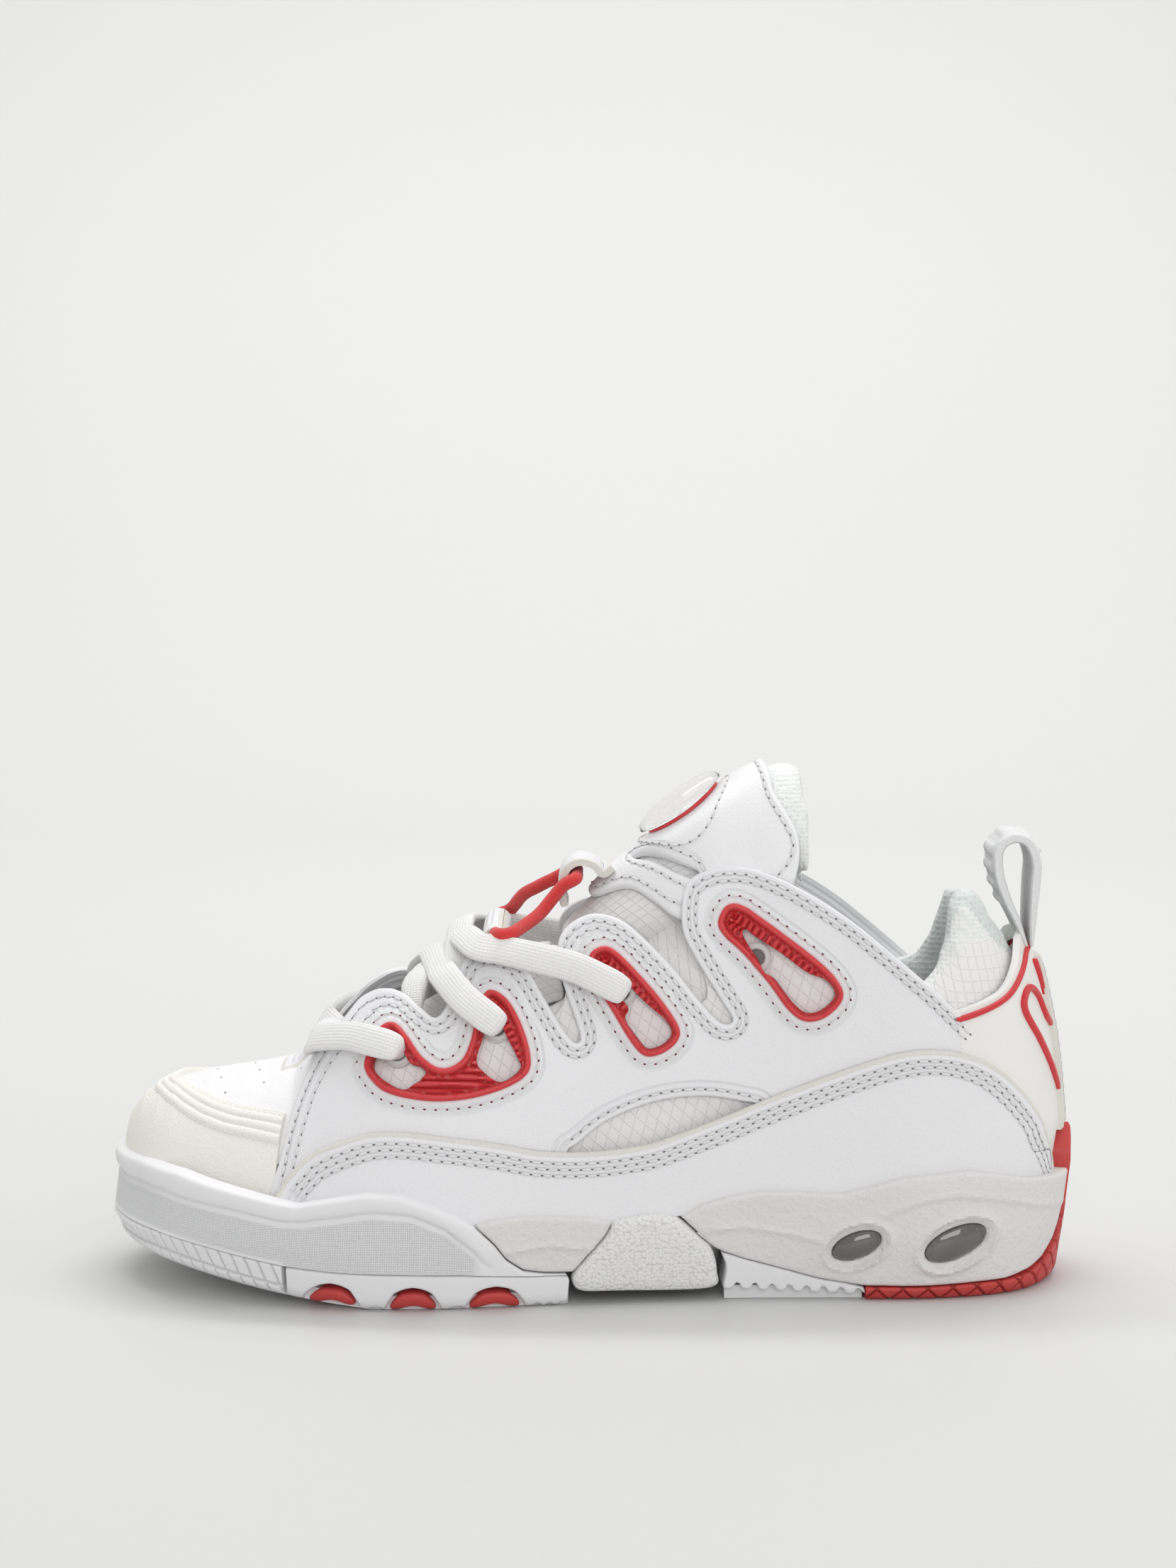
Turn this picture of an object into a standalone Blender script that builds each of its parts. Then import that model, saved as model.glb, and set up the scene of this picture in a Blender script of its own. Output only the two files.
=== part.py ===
"""Left skate-style lace-up shoe: cup sole, layered upper, moulded lace cages, tongue and lace.

Toe at -X, heel at +X, outer (lateral) side at -Y, inner (medial) side at +Y, ground at Z = 0.
Lengths in the tables are millimetres; MM turns them into metres.
"""
import math

import bmesh
import bpy
import numpy as np
from mathutils import Vector
from mathutils.geometry import delaunay_2d_cdt

MM = 0.001
NAME = "skate_shoe"

# ---------------------------------------------------------------- driving dimensions (mm)
CENTRE_SHIFT = (0.75, 0.35)      # moves the finished shoe so that its box is centred
SKIN_INSET = 4.0                # the lasted skin lies this far inside the feather line
WALL_POWER = 2.3                # roundness of the upper's sections, across
CROWN_POWER = 2.1               # roundness of the upper's sections, upwards
BOARD_THICK = 2.2
SOCK_THICK = 4.4
ELASTIC_THICK = 3.4
LACE_RADIUS = 1.3
LACE_STEP = 6.6                 # distance between the points of the lace's route
GAP = 0.35                      # clearance between touching pieces
LAYERS = {                      # inner and outer offset of each layer from the lasted skin
    "lining": (-2.9, -0.9),
    "vamp": (0.0, 1.0),
    "panel": (1.5, 2.9),
    "overlay": (3.4, 4.8),
    "cage": (3.4, 5.4),
}
EYELET_HOLE = 5.3
EYELET_OUTER = 4.8
EYELET_INNER = 3.5
HINGE_TONGUE = (-14.0, 0.0, 101.0)
HINGE_PULL = (137.0, 0.0, 103.5)

# Feather line in plan, from the toe tip back along the lateral side and round to the medial side.
PLAN = [
    (-148.5, 8), (-145, -8), (-135, -24), (-119, -36), (-97, -45.5), (-71, -50.5), (-44, -50.5),
    (-15, -46), (15, -41.5), (45, -38.5), (75, -38), (104, -37.5), (127, -31.5), (140.5, -19.5),
    (147, 0), (140.5, 19.5), (127, 31), (104, 36.5), (75, 36.5), (45, 34.5), (15, 35),
    (-15, 38.5), (-44, 44.5), (-71, 50), (-97, 50), (-119, 46), (-135, 38), (-145, 24.5),
]
FEATHER = [(-150, 28), (-120, 25), (-60, 21), (0, 22), (60, 28), (150, 31)]
CUP_FLOOR = [
    (-150, 22.5), (-134, 20.8), (-118, 18.4), (-100, 16.2), (-80, 15.5), (0, 16.5), (66, 26.2), (150, 26.5),
]
CROWN = [
    (-145, 34), (-144.2, 42), (-142.5, 48.5), (-138.5, 53.5), (-133, 57), (-128, 59.3), (-118, 61.8),
    (-100, 64.8), (-90, 67), (-82, 75), (-75, 84), (-60, 96), (-45, 104), (-30, 111), (0, 128),
    (30, 147), (50, 163), (70, 195), (90, 222), (147, 236),
]
HEEL_LEAN = [
    (36, 0), (50, -2.2), (67, -0.6), (77, 0.8), (87, 2.8), (96, 4.9), (101, 6.2), (112, 10), (120, 15),
]

# Side-view outlines (x, z) of the sole's pieces.
GROUND = [(-152, 13), (-135, 10.5), (-120, 8), (-100, 4.8), (-80, 1.8), (-66, 0), (150, 0)]
BUMPER_TOP = [(-160, 21), (-150.6, 20.6), (-134.7, 19.7), (-118.6, 17.4), (-101, 14.6), (-92.2, 13.3)]
TREAD_TOP = [(-91.6, 13.2), (-86, 12.7), (-75, 11.9), (-37.7, 11.1), (-28.3, 10.4), (-18, 9.9), (-5, 9.6)]
BEAD_TOP = [
    (-160, 39.5), (-148, 39.6), (-138, 40.3), (-124.5, 39.8), (-114, 37.8), (-104, 35.9), (-94, 34),
    (-87, 33.1), (-75, 35.5), (-66, 37.1), (-56, 36.7), (-47, 33.4), (-38, 29.2), (-34, 26.4),
    (-28, 20.4), (-24, 15.1), (-19, 11.2),
]
FOAM_TOP = [
    (-33.4, 26.8), (-28.3, 28.1), (-18.9, 28.7), (-9.5, 28.4), (0, 27.7), (7.6, 26.1), (16, 28.4),
    (21, 28.5), (28, 27), (34.3, 30.5), (43, 33), (52, 34.5), (62, 34.5), (76, 33.6), (86, 36),
    (95, 38.6), (105, 39.5), (115, 40.4), (125, 38.8), (135, 36.3), (146, 34),
]
SHANK = [
    (7.6, 25.8), (11.7, 27.2), (20.8, 28.2), (28.1, 26.6), (34.6, 20.5), (37.9, 17), (39.7, 9.6),
    (36.9, 4.1), (8, 4.1), (-1.5, 4.6), (-4.4, 7.2), (-4.1, 10.3), (-1, 14.3), (5.6, 22.3),
]
REAR_TREAD_TOP = [(40.4, 15.8), (47.7, 13.1), (56.6, 10.6), (69.5, 6.9), (84, 4.4)]
HEEL_TREAD_TOP = [
    (84.4, 4.3), (99.8, 3.9), (118.4, 4.5), (129.2, 4.7), (136.1, 5.6), (142.6, 9), (146.4, 13.5),
    (147.6, 20), (148, 26), (147.6, 31), (148.6, 37),
]
WINDOWS = {"front": (81.5, 17.3, 9.6, 5.6, 22), "rear": (112.2, 17.6, 12, 6.4, 22)}
PODS = {"1": (-85, -70.5, 7.6), "2": (-59.4, -45.4, 6.6), "3": (-34.7, -19.9, 6.0)}

# Side-view outlines (x, z) of the upper's panels.
MUDGUARD_TOP = [
    (-93, 33), (-90.5, 37), (-86, 42), (-83, 45), (-75.6, 49), (-65.6, 52.5), (-55.5, 53.3), (-42.8, 52),
    (-28.3, 50), (-15, 47.4), (0, 46.8), (15.7, 48.3), (25.7, 51.1), (41, 56.7), (57, 63.1), (75.2, 70),
    (93.2, 75.8), (104.7, 76.8), (115, 74.7), (124, 69.5), (132, 60.4), (137.5, 50), (140.5, 39),
]
QUARTER = [
    (-94, 31), (-92.2, 43.8), (-89.7, 53), (-86.4, 62.3), (-82.2, 70.5), (-78, 77), (-73, 82.8),
    (-68.5, 87.7), (-61.8, 91.3), (-55.5, 91), (-50, 87.7), (-45.5, 85.4), (-41.6, 90.5), (-38, 99.8),
    (-33, 104), (-26.1, 104.4), (-19, 100.4), (-12.8, 91.2), (-7.1, 82), (-3.6, 78.8), (-2.6, 82),
    (-7.7, 97), (-9, 106.4), (-5.7, 112.2), (1.5, 115.8), (9.2, 114.9), (16.3, 110.1), (25.9, 100.6),
    (34.1, 90.6), (40.2, 84.6), (43.9, 85.5), (39.7, 92.6), (32, 105.1), (28.6, 113.5), (30.2, 125.1),
    (38, 130), (48.7, 130.7), (59.3, 127.5), (69.9, 122), (81.1, 114.6), (93.1, 104.7), (104, 95.1),
    (111, 88.2), (112.2, 68), (104, 70), (92, 69), (75, 63), (57, 56), (41, 50), (25, 44.5), (0, 40),
    (-28, 43), (-55, 46), (-70, 43), (-80, 38), (-84, 31),
]
LINING = [
    (-86, 27), (-86, 57), (-80, 67), (-73, 77), (-66, 84.5), (-58, 86), (-50, 82.5), (-44, 83), (-38, 94.5),
    (-30, 100.5), (-22, 97.5), (-12, 85.5), (-4, 75), (1, 78), (-1.5, 90), (-4, 105), (2, 111.5), (9, 110.5),
    (20, 102), (32, 89), (42, 80.5), (47.5, 83), (41, 97), (34, 108), (32.5, 118), (35, 124), (43, 127),
    (54, 126), (67, 119), (74, 114), (74, 30), (20, 27),
]
COLLAR_TOP = [(76, 112.5), (84, 106), (93, 99), (99, 99), (103, 106), (107, 114), (113, 119), (119, 120.5),
              (125, 119), (131, 113), (137, 107), (143, 103)]
COUNTER_TOP = [(113, 85), (122.7, 87.5), (131.4, 91), (137, 95), (143, 99.5)]
CAGE_FRONT = [
    (-66, 70.5), (-63.2, 66.1), (-59, 63.9), (-52, 62.6), (-44, 62.2), (-34, 63.3), (-24, 66.4),
    (-17.6, 70.4), (-17.4, 76), (-20, 84), (-23.8, 90.6), (-27.9, 93.3), (-31, 92.4), (-33, 87),
    (-35.6, 77), (-38.5, 73.2), (-44, 72.1), (-49.5, 75.5), (-54, 80.6), (-57.6, 83), (-60.6, 81.8),
    (-64, 76.5),
]
CAGE_MIDDLE = [
    (0.5, 103.2), (3.1, 106.3), (7.5, 106.3), (14.2, 100.4), (21.8, 91.9), (27.3, 83.6), (26.9, 79.4),
    (22.5, 75.8), (17.2, 74.9), (13.2, 78.5), (7.5, 87.6), (2.6, 96),
]
CAGE_REAR = [
    (39.5, 114.6), (42.3, 119.5), (47.4, 119.4), (56.5, 113.6), (69.8, 103.6), (76.3, 96.5), (76.8, 91.5),
    (71.5, 86.4), (65.5, 85.4), (60.4, 89), (54.5, 97), (47, 105.3), (41.2, 110.6),
]
EYELETS = {"1": (-57, 75.6), "2": (-27.5, 83.4), "3": (10, 93.9), "4": (51.1, 104.2)}

# Centre line (x, z) of the tongue's outer face, its half width, and how far its edges droop.
TONGUE = [
    (-82, 62, 15, 6), (-74, 70, 17, 8), (-60, 81, 19, 10), (-45, 90, 20, 11), (-30, 98, 20.5, 12),
    (-16, 105.5, 21, 13), (-12.5, 107.5, 21, 13), (0, 117, 21, 14), (14, 132, 21, 15), (30, 145, 21.5, 16),
    (44, 154.5, 24, 15), (54, 160.5, 26, 12), (62, 162.6, 26, 8), (68.5, 159.5, 26, 4), (71.5, 153, 25, 2),
]
PULL_LOOP = [
    (135.2, 104.3), (132.4, 112), (129.2, 119), (126.6, 126.4), (126, 132.4), (126.9, 136), (129.2, 138.3),
    (132.5, 139.2), (136, 138), (138.4, 135), (139.7, 129.8), (139.3, 125), (138.6, 115.5), (138.5, 104.3),
]

COLOURS = {
    "white_leather": ((0.80, 0.80, 0.80), 0.5), "warm_leather": ((0.84, 0.83, 0.78), 0.5),
    "mesh": ((0.57, 0.61, 0.60), 0.9), "foam": ((0.76, 0.74, 0.72), 0.6), "rubber": ((0.77, 0.77, 0.78), 0.6),
    "red": ((0.58, 0.04, 0.04), 0.45), "smoke": ((0.1, 0.1, 0.1), 0.12), "lace": ((0.82, 0.82, 0.80), 0.85),
    "clear": ((0.9, 0.9, 0.9), 0.05), "grommet": ((0.62, 0.61, 0.60), 0.35),
}


# ---------------------------------------------------------------- curves and the lasted surface
def spline(points, count, closed=False):
    """Catmull-Rom points at even steps of the parameter."""
    p = np.array(points, float)
    n = len(p)
    t = np.linspace(0, n if closed else n - 1, count, endpoint=not closed)
    i = np.minimum(t.astype(int), n - 1 if closed else n - 2)
    f = (t - i)[:, None]

    def at(k):
        return p[k % n] if closed else p[np.clip(k, 0, n - 1)]

    a, b, c, d = at(i - 1), at(i), at(i + 1), at(i + 2)
    square = (2 * a - 5 * b + 4 * c - d) * f ** 2
    cube = (3 * b - a - 3 * c + d) * f ** 3
    return 0.5 * (2 * b + (c - a) * f + square + cube)


def even(points, spacing, closed=False):
    """The same polyline with points about this far apart."""
    p = np.array(points, float)
    if closed:
        p = np.vstack([p, p[:1]])
    along = np.concatenate([[0], np.cumsum(np.linalg.norm(np.diff(p, axis=0), axis=1))])
    count = max(int(round(along[-1] / spacing)), 2)
    s = np.linspace(0, along[-1], count + 1)
    if closed:
        s = s[:-1]
    return np.stack([np.interp(s, along, p[:, k]) for k in range(p.shape[1])], axis=1)


def level(table, x):
    t = np.array(table, float)
    return np.interp(x, t[:, 0], t[:, 1])


def offset_loop(loop, distance):
    """A closed plan loop moved outwards by a distance."""
    ahead = np.roll(loop, -1, axis=0) - np.roll(loop, 1, axis=0)
    out = np.stack([-ahead[:, 1], ahead[:, 0]], axis=1)
    out /= np.linalg.norm(out, axis=1)[:, None]
    return loop - out * distance


PLAN_LOOP = spline(PLAN, 840, closed=True)
SKIN_LOOP = offset_loop(PLAN_LOOP, -SKIN_INSET)


def halves(loop):
    """Lateral and medial edge of a plan loop as (x, y) tables sorted along x."""
    tip, tail = int(loop[:, 0].argmin()), int(loop[:, 0].argmax())
    turned = np.roll(loop, -tip, axis=0)
    cut = (tail - tip) % len(loop)
    lateral = turned[:cut + 1]
    medial = np.vstack([turned[cut:], turned[:1]])[::-1]
    return lateral, medial


SKIN_LATERAL, SKIN_MEDIAL = halves(SKIN_LOOP)
SKIN_TOE = float(SKIN_LATERAL[0, 0])
SKIN_HEEL = float(SKIN_LATERAL[-1, 0])


def skin_edge(x, side):
    table = SKIN_LATERAL if side < 0 else SKIN_MEDIAL
    return np.interp(x, table[:, 0], table[:, 1])


def lean(x, z):
    """How far the back of the shoe leans forward at a height."""
    grow = np.clip((x - 60) / 80, 0, 1) ** 2
    return level(HEEL_LEAN, z) * grow


def base_x(x, z):
    """The plan station whose wall passes through (x, z)."""
    b = x
    for _ in range(5):
        b = x + lean(b, z)
    return min(max(b, SKIN_TOE + 0.05), SKIN_HEEL - 0.02)


def solid_value(x, y, z):
    """Zero on the lasted skin, positive outside."""
    b = base_x(x, z)
    lateral, medial = skin_edge(b, -1), skin_edge(b, 1)
    centre, half = (lateral + medial) / 2, (medial - lateral) / 2
    low, top = level(FEATHER, b), level(CROWN, b)
    up = max((z - low) / (top - low), 0.0)
    return (abs(y - centre) / half) ** WALL_POWER + up ** CROWN_POWER - 1


def skin_normal(x, y, z):
    """Outward unit normal of the lasted skin."""
    h = 0.4
    b = max(min(x, SKIN_HEEL - 1.2 - lean(SKIN_HEEL, z)), SKIN_TOE + 1.0)
    g = Vector((
        solid_value(b + h, y, z) - solid_value(b - h, y, z),
        solid_value(b, y + h, z) - solid_value(b, y - h, z),
        solid_value(b, y, z + h) - solid_value(b, y, z - h),
    ))
    return g.normalized()


def wall_point(bx, z, side, offset=0.0):
    """A point of the upper over plan station bx, at height z, moved out by an offset."""
    lateral, medial = skin_edge(bx, -1), skin_edge(bx, 1)
    centre = (lateral + medial) / 2
    edge = lateral if side < 0 else medial
    low, top = level(FEATHER, bx), level(CROWN, bx)
    up = min(max((z - low) / (top - low), 0.0), 0.995)
    y = centre + (edge - centre) * (1 - up ** CROWN_POWER) ** (1 / WALL_POWER)
    x = bx - lean(bx, z)
    p = Vector((x, y, z))
    return p + skin_normal(*p) * offset


def side_point(x, z, side, offset=0.0):
    return wall_point(base_x(x, z), z, side, offset)


def crown_point(x, y, offset=0.0):
    """A point on top of the toe or vamp at plan position (x, y)."""
    lateral, medial = skin_edge(x, -1), skin_edge(x, 1)
    centre, half = (lateral + medial) / 2, (medial - lateral) / 2
    across = min(abs(y - centre) / half, 0.9999)
    low, top = level(FEATHER, x), level(CROWN, x)
    z = low + (top - low) * (1 - across ** WALL_POWER) ** (1 / CROWN_POWER)
    p = Vector((x, y, z))
    return p + skin_normal(*p) * offset


def arch_point(x, turn, offset=0.0):
    """A point of the section at x: turn 0 is the lateral edge, 1 the medial edge."""
    lateral, medial = skin_edge(x, -1), skin_edge(x, 1)
    centre, half = (lateral + medial) / 2, (medial - lateral) / 2
    angle = math.pi * turn
    across, up = -math.cos(angle), math.sin(angle)
    y = centre + half * math.copysign(abs(across) ** (2 / WALL_POWER), across)
    low, top = level(FEATHER, x), level(CROWN, x)
    z = low + (top - low) * up ** (2 / CROWN_POWER)
    p = Vector((x, y, z))
    return p + skin_normal(*p) * offset


# ---------------------------------------------------------------- objects
for old in list(bpy.data.objects):
    bpy.data.objects.remove(old, do_unlink=True)
PARTS = bpy.data.collections.new(NAME)
CUTTERS = bpy.data.collections.new("cutters")
bpy.context.scene.collection.children.link(PARTS)
bpy.context.scene.collection.children.link(CUTTERS)
CUTTERS.hide_render = True


def material(name, colour):
    rgb, rough = COLOURS[colour]
    made = bpy.data.materials.new(name)
    made.use_nodes = True
    shader = made.node_tree.nodes["Principled BSDF"]
    shader.inputs["Base Color"].default_value = (*rgb, 1)
    shader.inputs["Roughness"].default_value = rough
    shader.inputs["Metallic"].default_value = 0
    return made


def add_mesh(name, points, faces, colour=None, outward=True):
    """A mesh object from points in mm; with no colour it is a cutter."""
    mesh = bpy.data.meshes.new(name)
    shift = Vector((CENTRE_SHIFT[0], CENTRE_SHIFT[1], 0))
    mesh.from_pydata([(Vector(p) + shift) * MM for p in points], [], faces)
    if outward:
        bm = bmesh.new()
        bm.from_mesh(mesh)
        bmesh.ops.recalc_face_normals(bm, faces=bm.faces)
        bm.to_mesh(mesh)
        bm.free()
    obj = bpy.data.objects.new(name, mesh)
    if colour:
        mesh.materials.append(material(name, colour))
        PARTS.objects.link(obj)
    else:
        CUTTERS.objects.link(obj)
        obj.hide_render = True
        obj.display_type = "WIRE"
    mesh.shade_smooth()
    mesh.set_sharp_from_angle(angle=math.radians(40))
    return obj


def boolean(obj, cutter, operation="DIFFERENCE"):
    cut = obj.modifiers.new(cutter.name, "BOOLEAN")
    cut.operation = operation
    cut.solver = "EXACT"
    cut.object = cutter
    return obj


def thicken(obj, thickness):
    """Thickens an open sheet along its outward normals."""
    solid = obj.modifiers.new("thickness", "SOLIDIFY")
    solid.thickness = thickness * MM
    solid.offset = 1
    solid.use_even_offset = False
    return obj


def face_outwards(points, faces, centre):
    """Turns a whole sheet, if need be, so that it looks away from a centre."""
    total = 0.0
    for face in faces:
        a, b, c = (Vector(points[k]) for k in face[:3])
        total += (b - a).cross(c - a).dot(((a + b + c) / 3 - centre).normalized())
    return [tuple(face) if total > 0 else tuple(reversed(face)) for face in faces]


def grid_faces(rows, columns, wrap=False):
    faces = []
    for i in range(rows - 1):
        for j in range(columns if wrap else columns - 1):
            k = (j + 1) % columns
            faces.append((i * columns + j, i * columns + k, (i + 1) * columns + k, (i + 1) * columns + j))
    return faces


def sheet(name, rows, thickness, colour, inside):
    """A shell from rows of points, thickened outwards from a point inside it."""
    points = [p for row in rows for p in row]
    faces = face_outwards(points, grid_faces(len(rows), len(rows[0])), Vector(inside))
    return thicken(add_mesh(name, points, faces, colour, outward=False), thickness)


def inside_outline(points, outline):
    x, y = points[:, 0], points[:, 1]
    odd = np.zeros(len(points), bool)
    for (x0, y0), (x1, y1) in zip(outline, np.roll(outline, -1, axis=0)):
        if y0 == y1:
            continue
        crosses = ((y0 > y) != (y1 > y)) & (x < (x1 - x0) * (y - y0) / (y1 - y0) + x0)
        odd ^= crosses
    return odd


def filled(outline, spacing):
    """Flat triangles that fill an outline, with inner points this far apart."""
    border = even(outline, spacing * 0.8, closed=True)
    low, high = border.min(axis=0), border.max(axis=0)
    inner = []
    for row, v in enumerate(np.arange(low[1], high[1], spacing * 0.87)):
        for u in np.arange(low[0] + (row % 2) * spacing / 2, high[0], spacing):
            inner.append((u, v))
    inner = np.array(inner)
    inner = inner[inside_outline(inner, border)]
    ends = np.roll(border, -1, axis=0) - border
    away = inner[:, None, :] - border[None]
    along = np.clip((away * ends).sum(-1) / (ends ** 2).sum(-1), 0, 1)
    distance = np.linalg.norm(away - along[..., None] * ends, axis=-1).min(axis=1)
    inner = inner[distance > spacing * 0.45]
    points = [Vector(p) for p in np.vstack([border, inner])]
    edges = [(k, (k + 1) % len(border)) for k in range(len(border))]
    flat, _, faces = delaunay_2d_cdt(points, edges, [], 1, 1e-5)[:3]
    return [tuple(p) for p in flat], faces


def wall_panel(name, outline, side, layer, colour, spacing=8.0):
    """A panel of the upper cut to a side-view outline and lasted onto one wall."""
    inner, outer = LAYERS[layer]
    flat, faces = filled(outline, spacing)
    points = [side_point(x, z, side, inner) for x, z in flat]
    faces = face_outwards(points, faces, Vector((0, -1000 * side, 0)))
    return thicken(add_mesh(name, points, faces, colour, outward=False), outer - inner)


def prism(name, outline, low, high, colour=None):
    """An (x, z) outline extruded along Y between two places."""
    n = len(outline)
    points = [(x, low, z) for x, z in outline] + [(x, high, z) for x, z in outline]
    faces = [tuple(range(n)), tuple(range(2 * n - 1, n - 1, -1))]
    faces += [(k, (k + 1) % n, n + (k + 1) % n, n + k) for k in range(n)]
    return add_mesh(name, points, faces, colour)


def ellipse(cx, cz, rx, rz, tilt=0.0, count=20):
    turn = math.radians(tilt)
    outline = []
    for k in range(count):
        a = 2 * math.pi * k / count
        u, v = rx * math.cos(a), rz * math.sin(a)
        x = cx + u * math.cos(turn) - v * math.sin(turn)
        outline.append((x, cz + u * math.sin(turn) + v * math.cos(turn)))
    return outline


def loop_sweep(name, path, normals, width, height, colour, sides=6):
    """A closed cord: an ellipse of a given width and height along a loop."""
    n = len(path)
    points = []
    for k in range(n):
        ahead = path[(k + 1) % n] - path[k - 1]
        ahead.normalize()
        across = ahead.cross(normals[k]).normalized()
        up = across.cross(ahead).normalized()
        for j in range(sides):
            a = 2 * math.pi * (j + 0.5) / sides
            sideways = across * (width / 2 * math.cos(a))
            points.append(path[k] + sideways + up * (height / 2 * math.sin(a)))
    faces = grid_faces(n, sides, wrap=True)
    last = (n - 1) * sides
    faces += [(last + j, last + (j + 1) % sides, (j + 1) % sides, j) for j in range(sides)]
    return add_mesh(name, points, faces, colour)


# ---------------------------------------------------------------- sole
def sole_blank(name, rings, count=72, colour=None):
    """A solid in the shape of the sole's plan: rings of (offset outwards, height by x)."""
    tip, tail = int(PLAN_LOOP[:, 0].argmin()), int(PLAN_LOOP[:, 0].argmax())
    turned = np.roll(PLAN_LOOP, -tip, axis=0)
    cut = (tail - tip) % len(PLAN_LOOP)
    half = count // 2
    picks = [round(cut * k / half) for k in range(half)]
    picks += [cut + round((len(turned) - cut) * k / half) for k in range(half)]
    points = []
    for offset, height in rings:
        loop = np.roll(offset_loop(PLAN_LOOP, offset), -tip, axis=0)
        points += [(loop[k][0], loop[k][1], height(loop[k][0])) for k in picks]
    faces = grid_faces(len(rings), count, wrap=True)
    for start in (0, (len(rings) - 1) * count):
        ladder = [(start + k, start + k + 1, start + count - k - 1, start + (count - k) % count)
                  for k in range(1, half)]
        faces += [face for face in ladder if len(set(face)) == 4]
        faces.append((start, start + 1, start + count - 1))
        faces.append((start + half - 1, start + half, start + half + 1))
    return add_mesh(name, points, faces, colour)


def wall_ring(lift):
    return lambda x: level(GROUND, x) + lift


def flat_ring(height):
    return lambda x: height


def floor_ring(lift):
    return lambda x: level(CUP_FLOOR, x) + lift


def whole_sole(name, colour=None):
    rings = [(-3.5, wall_ring(0)), (0.5, wall_ring(5)), (2.6, flat_ring(19)), (3.6, flat_ring(29)),
             (4.4, flat_ring(36)), (4.4, flat_ring(46))]
    return sole_blank(name, rings, colour=colour)


def below(line, bottom=-6.0):
    return list(line) + [(line[-1][0], bottom), (line[0][0], bottom)]


def moved(line, up):
    return [(x, z + up) for x, z in line]


def build_sole():
    cavity = sole_blank("cup_cavity", [(1.2, floor_ring(0)), (1.4, flat_ring(60))])
    bumper = prism("bumper_profile", below(BUMPER_TOP), -80, 80)
    tread = prism("tread_profile", below(TREAD_TOP + [(-5.2, 6.3), (-2.2, 4.2), (-2.2, -6)]), -80, 80)
    wall_low = moved(BUMPER_TOP[:-1], GAP) + moved(TREAD_TOP, GAP)
    wall = prism("sidewall_profile", BEAD_TOP + [(-13, 10.4), (-5.4, 10.1)] + wall_low[::-1], -80, 80)

    boolean(whole_sole("toe_bumper", "rubber"), bumper, "INTERSECT")
    side = boolean(whole_sole("cupsole_sidewall", "rubber"), wall, "INTERSECT")
    boolean(side, cavity)
    front = boolean(whole_sole("outsole_forefoot", "rubber"), tread, "INTERSECT")

    for number, (x0, x1, top) in PODS.items():
        for word, sign in (("lateral", -1), ("medial", 1)):
            build_pod(front, number, word, sign, x0, x1, top)

    foam_low = [(148.2, 37), (147.3, 31), (147.6, 26), (147.2, 20), (146, 13.8), (142.3, 9.4), (136, 6)]
    foam_low += moved(HEEL_TREAD_TOP[3::-1], GAP) + moved(REAR_TREAD_TOP[::-1], GAP)
    foam_low += [(40, 16.4), (40.2, 4.6), (36, 4.4), (-1.2, 4.4), (-4.6, 7), (-4.6, 10.6), (-13, 10.9)]
    foam_low += [(-18.8, 11.7), (-23.6, 15.6), (-27.6, 20.9), (-33.4, 26.6)]
    foam = prism("foam_profile", FOAM_TOP[:-1] + [(147.8, 36)] + foam_low, -80, 80)
    midsole = boolean(whole_sole("midsole_foam", "foam"), foam, "INTERSECT")
    boolean(midsole, cavity)

    core = sole_blank("shank_core", [(-1.6, flat_ring(8)), (-0.6, flat_ring(24)), (0.2, flat_ring(40))])
    grown_rings = [(-2.0, flat_ring(8.4)), (-1.0, flat_ring(24)), (-0.2, flat_ring(60))]
    grown = sole_blank("shank_core_grown", grown_rings)
    profile = prism("shank_profile", SHANK, -80, 80)
    shank = boolean(whole_sole("shank_wrap", "white_leather"), profile, "INTERSECT")
    boolean(shank, core)
    boolean(shank, cavity)
    centre = np.mean(SHANK, axis=0)
    wide = [tuple(centre + (np.array(p) - centre) * 1.03) for p in SHANK]
    open_top = [(x, 45 if z > 25.5 else z) for x, z in wide]
    pocket = prism("shank_pocket", open_top, -80, 80)
    boolean(pocket, grown)
    boolean(midsole, pocket)

    rear = prism("rear_profile", below(REAR_TREAD_TOP), -80, 80)
    boolean(whole_sole("outsole_rear", "rubber"), rear, "INTERSECT")
    heel = prism("heel_profile", HEEL_TREAD_TOP + [(160, 37), (160, -6), (84.4, -6)], -80, 80)
    boolean(whole_sole("heel_outsole", "red"), heel, "INTERSECT")

    for word, window in WINDOWS.items():
        build_window(midsole, word, *window)
    build_footbed()


def build_pod(front, number, word, sign, x0, x1, top):
    """One traction pod, and the recess for it in the forefoot tread."""
    middle = (x0 + x1) / 2
    plan = halves(PLAN_LOOP)[0 if sign < 0 else 1]
    edge = abs(float(np.interp(middle, plan[:, 0], plan[:, 1])))
    arch = [(x0 - 0.6, -6), (x0 - 0.6, top - 2), (x0 + 2, top + 0.7)]
    arch += [(x1 - 2, top + 0.7), (x1 + 0.6, top - 2), (x1 + 0.6, -6)]
    low, high = sorted((sign * (edge - 12), sign * (edge + 20)))
    boolean(front, prism(f"pod_recess_{word}_{number}", arch, low, high))
    rest = max(level(GROUND, x0), level(GROUND, x1))
    body = [(x0, rest), (x0, top - 2.4), (x0 + 2, top), (x1 - 2, top), (x1, top - 2.4), (x1, rest)]
    low, high = sorted((sign * (edge - 11.4), sign * (edge - 0.4)))
    prism(f"traction_pod_{word}_{number}", body, low, high, "red")


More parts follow.
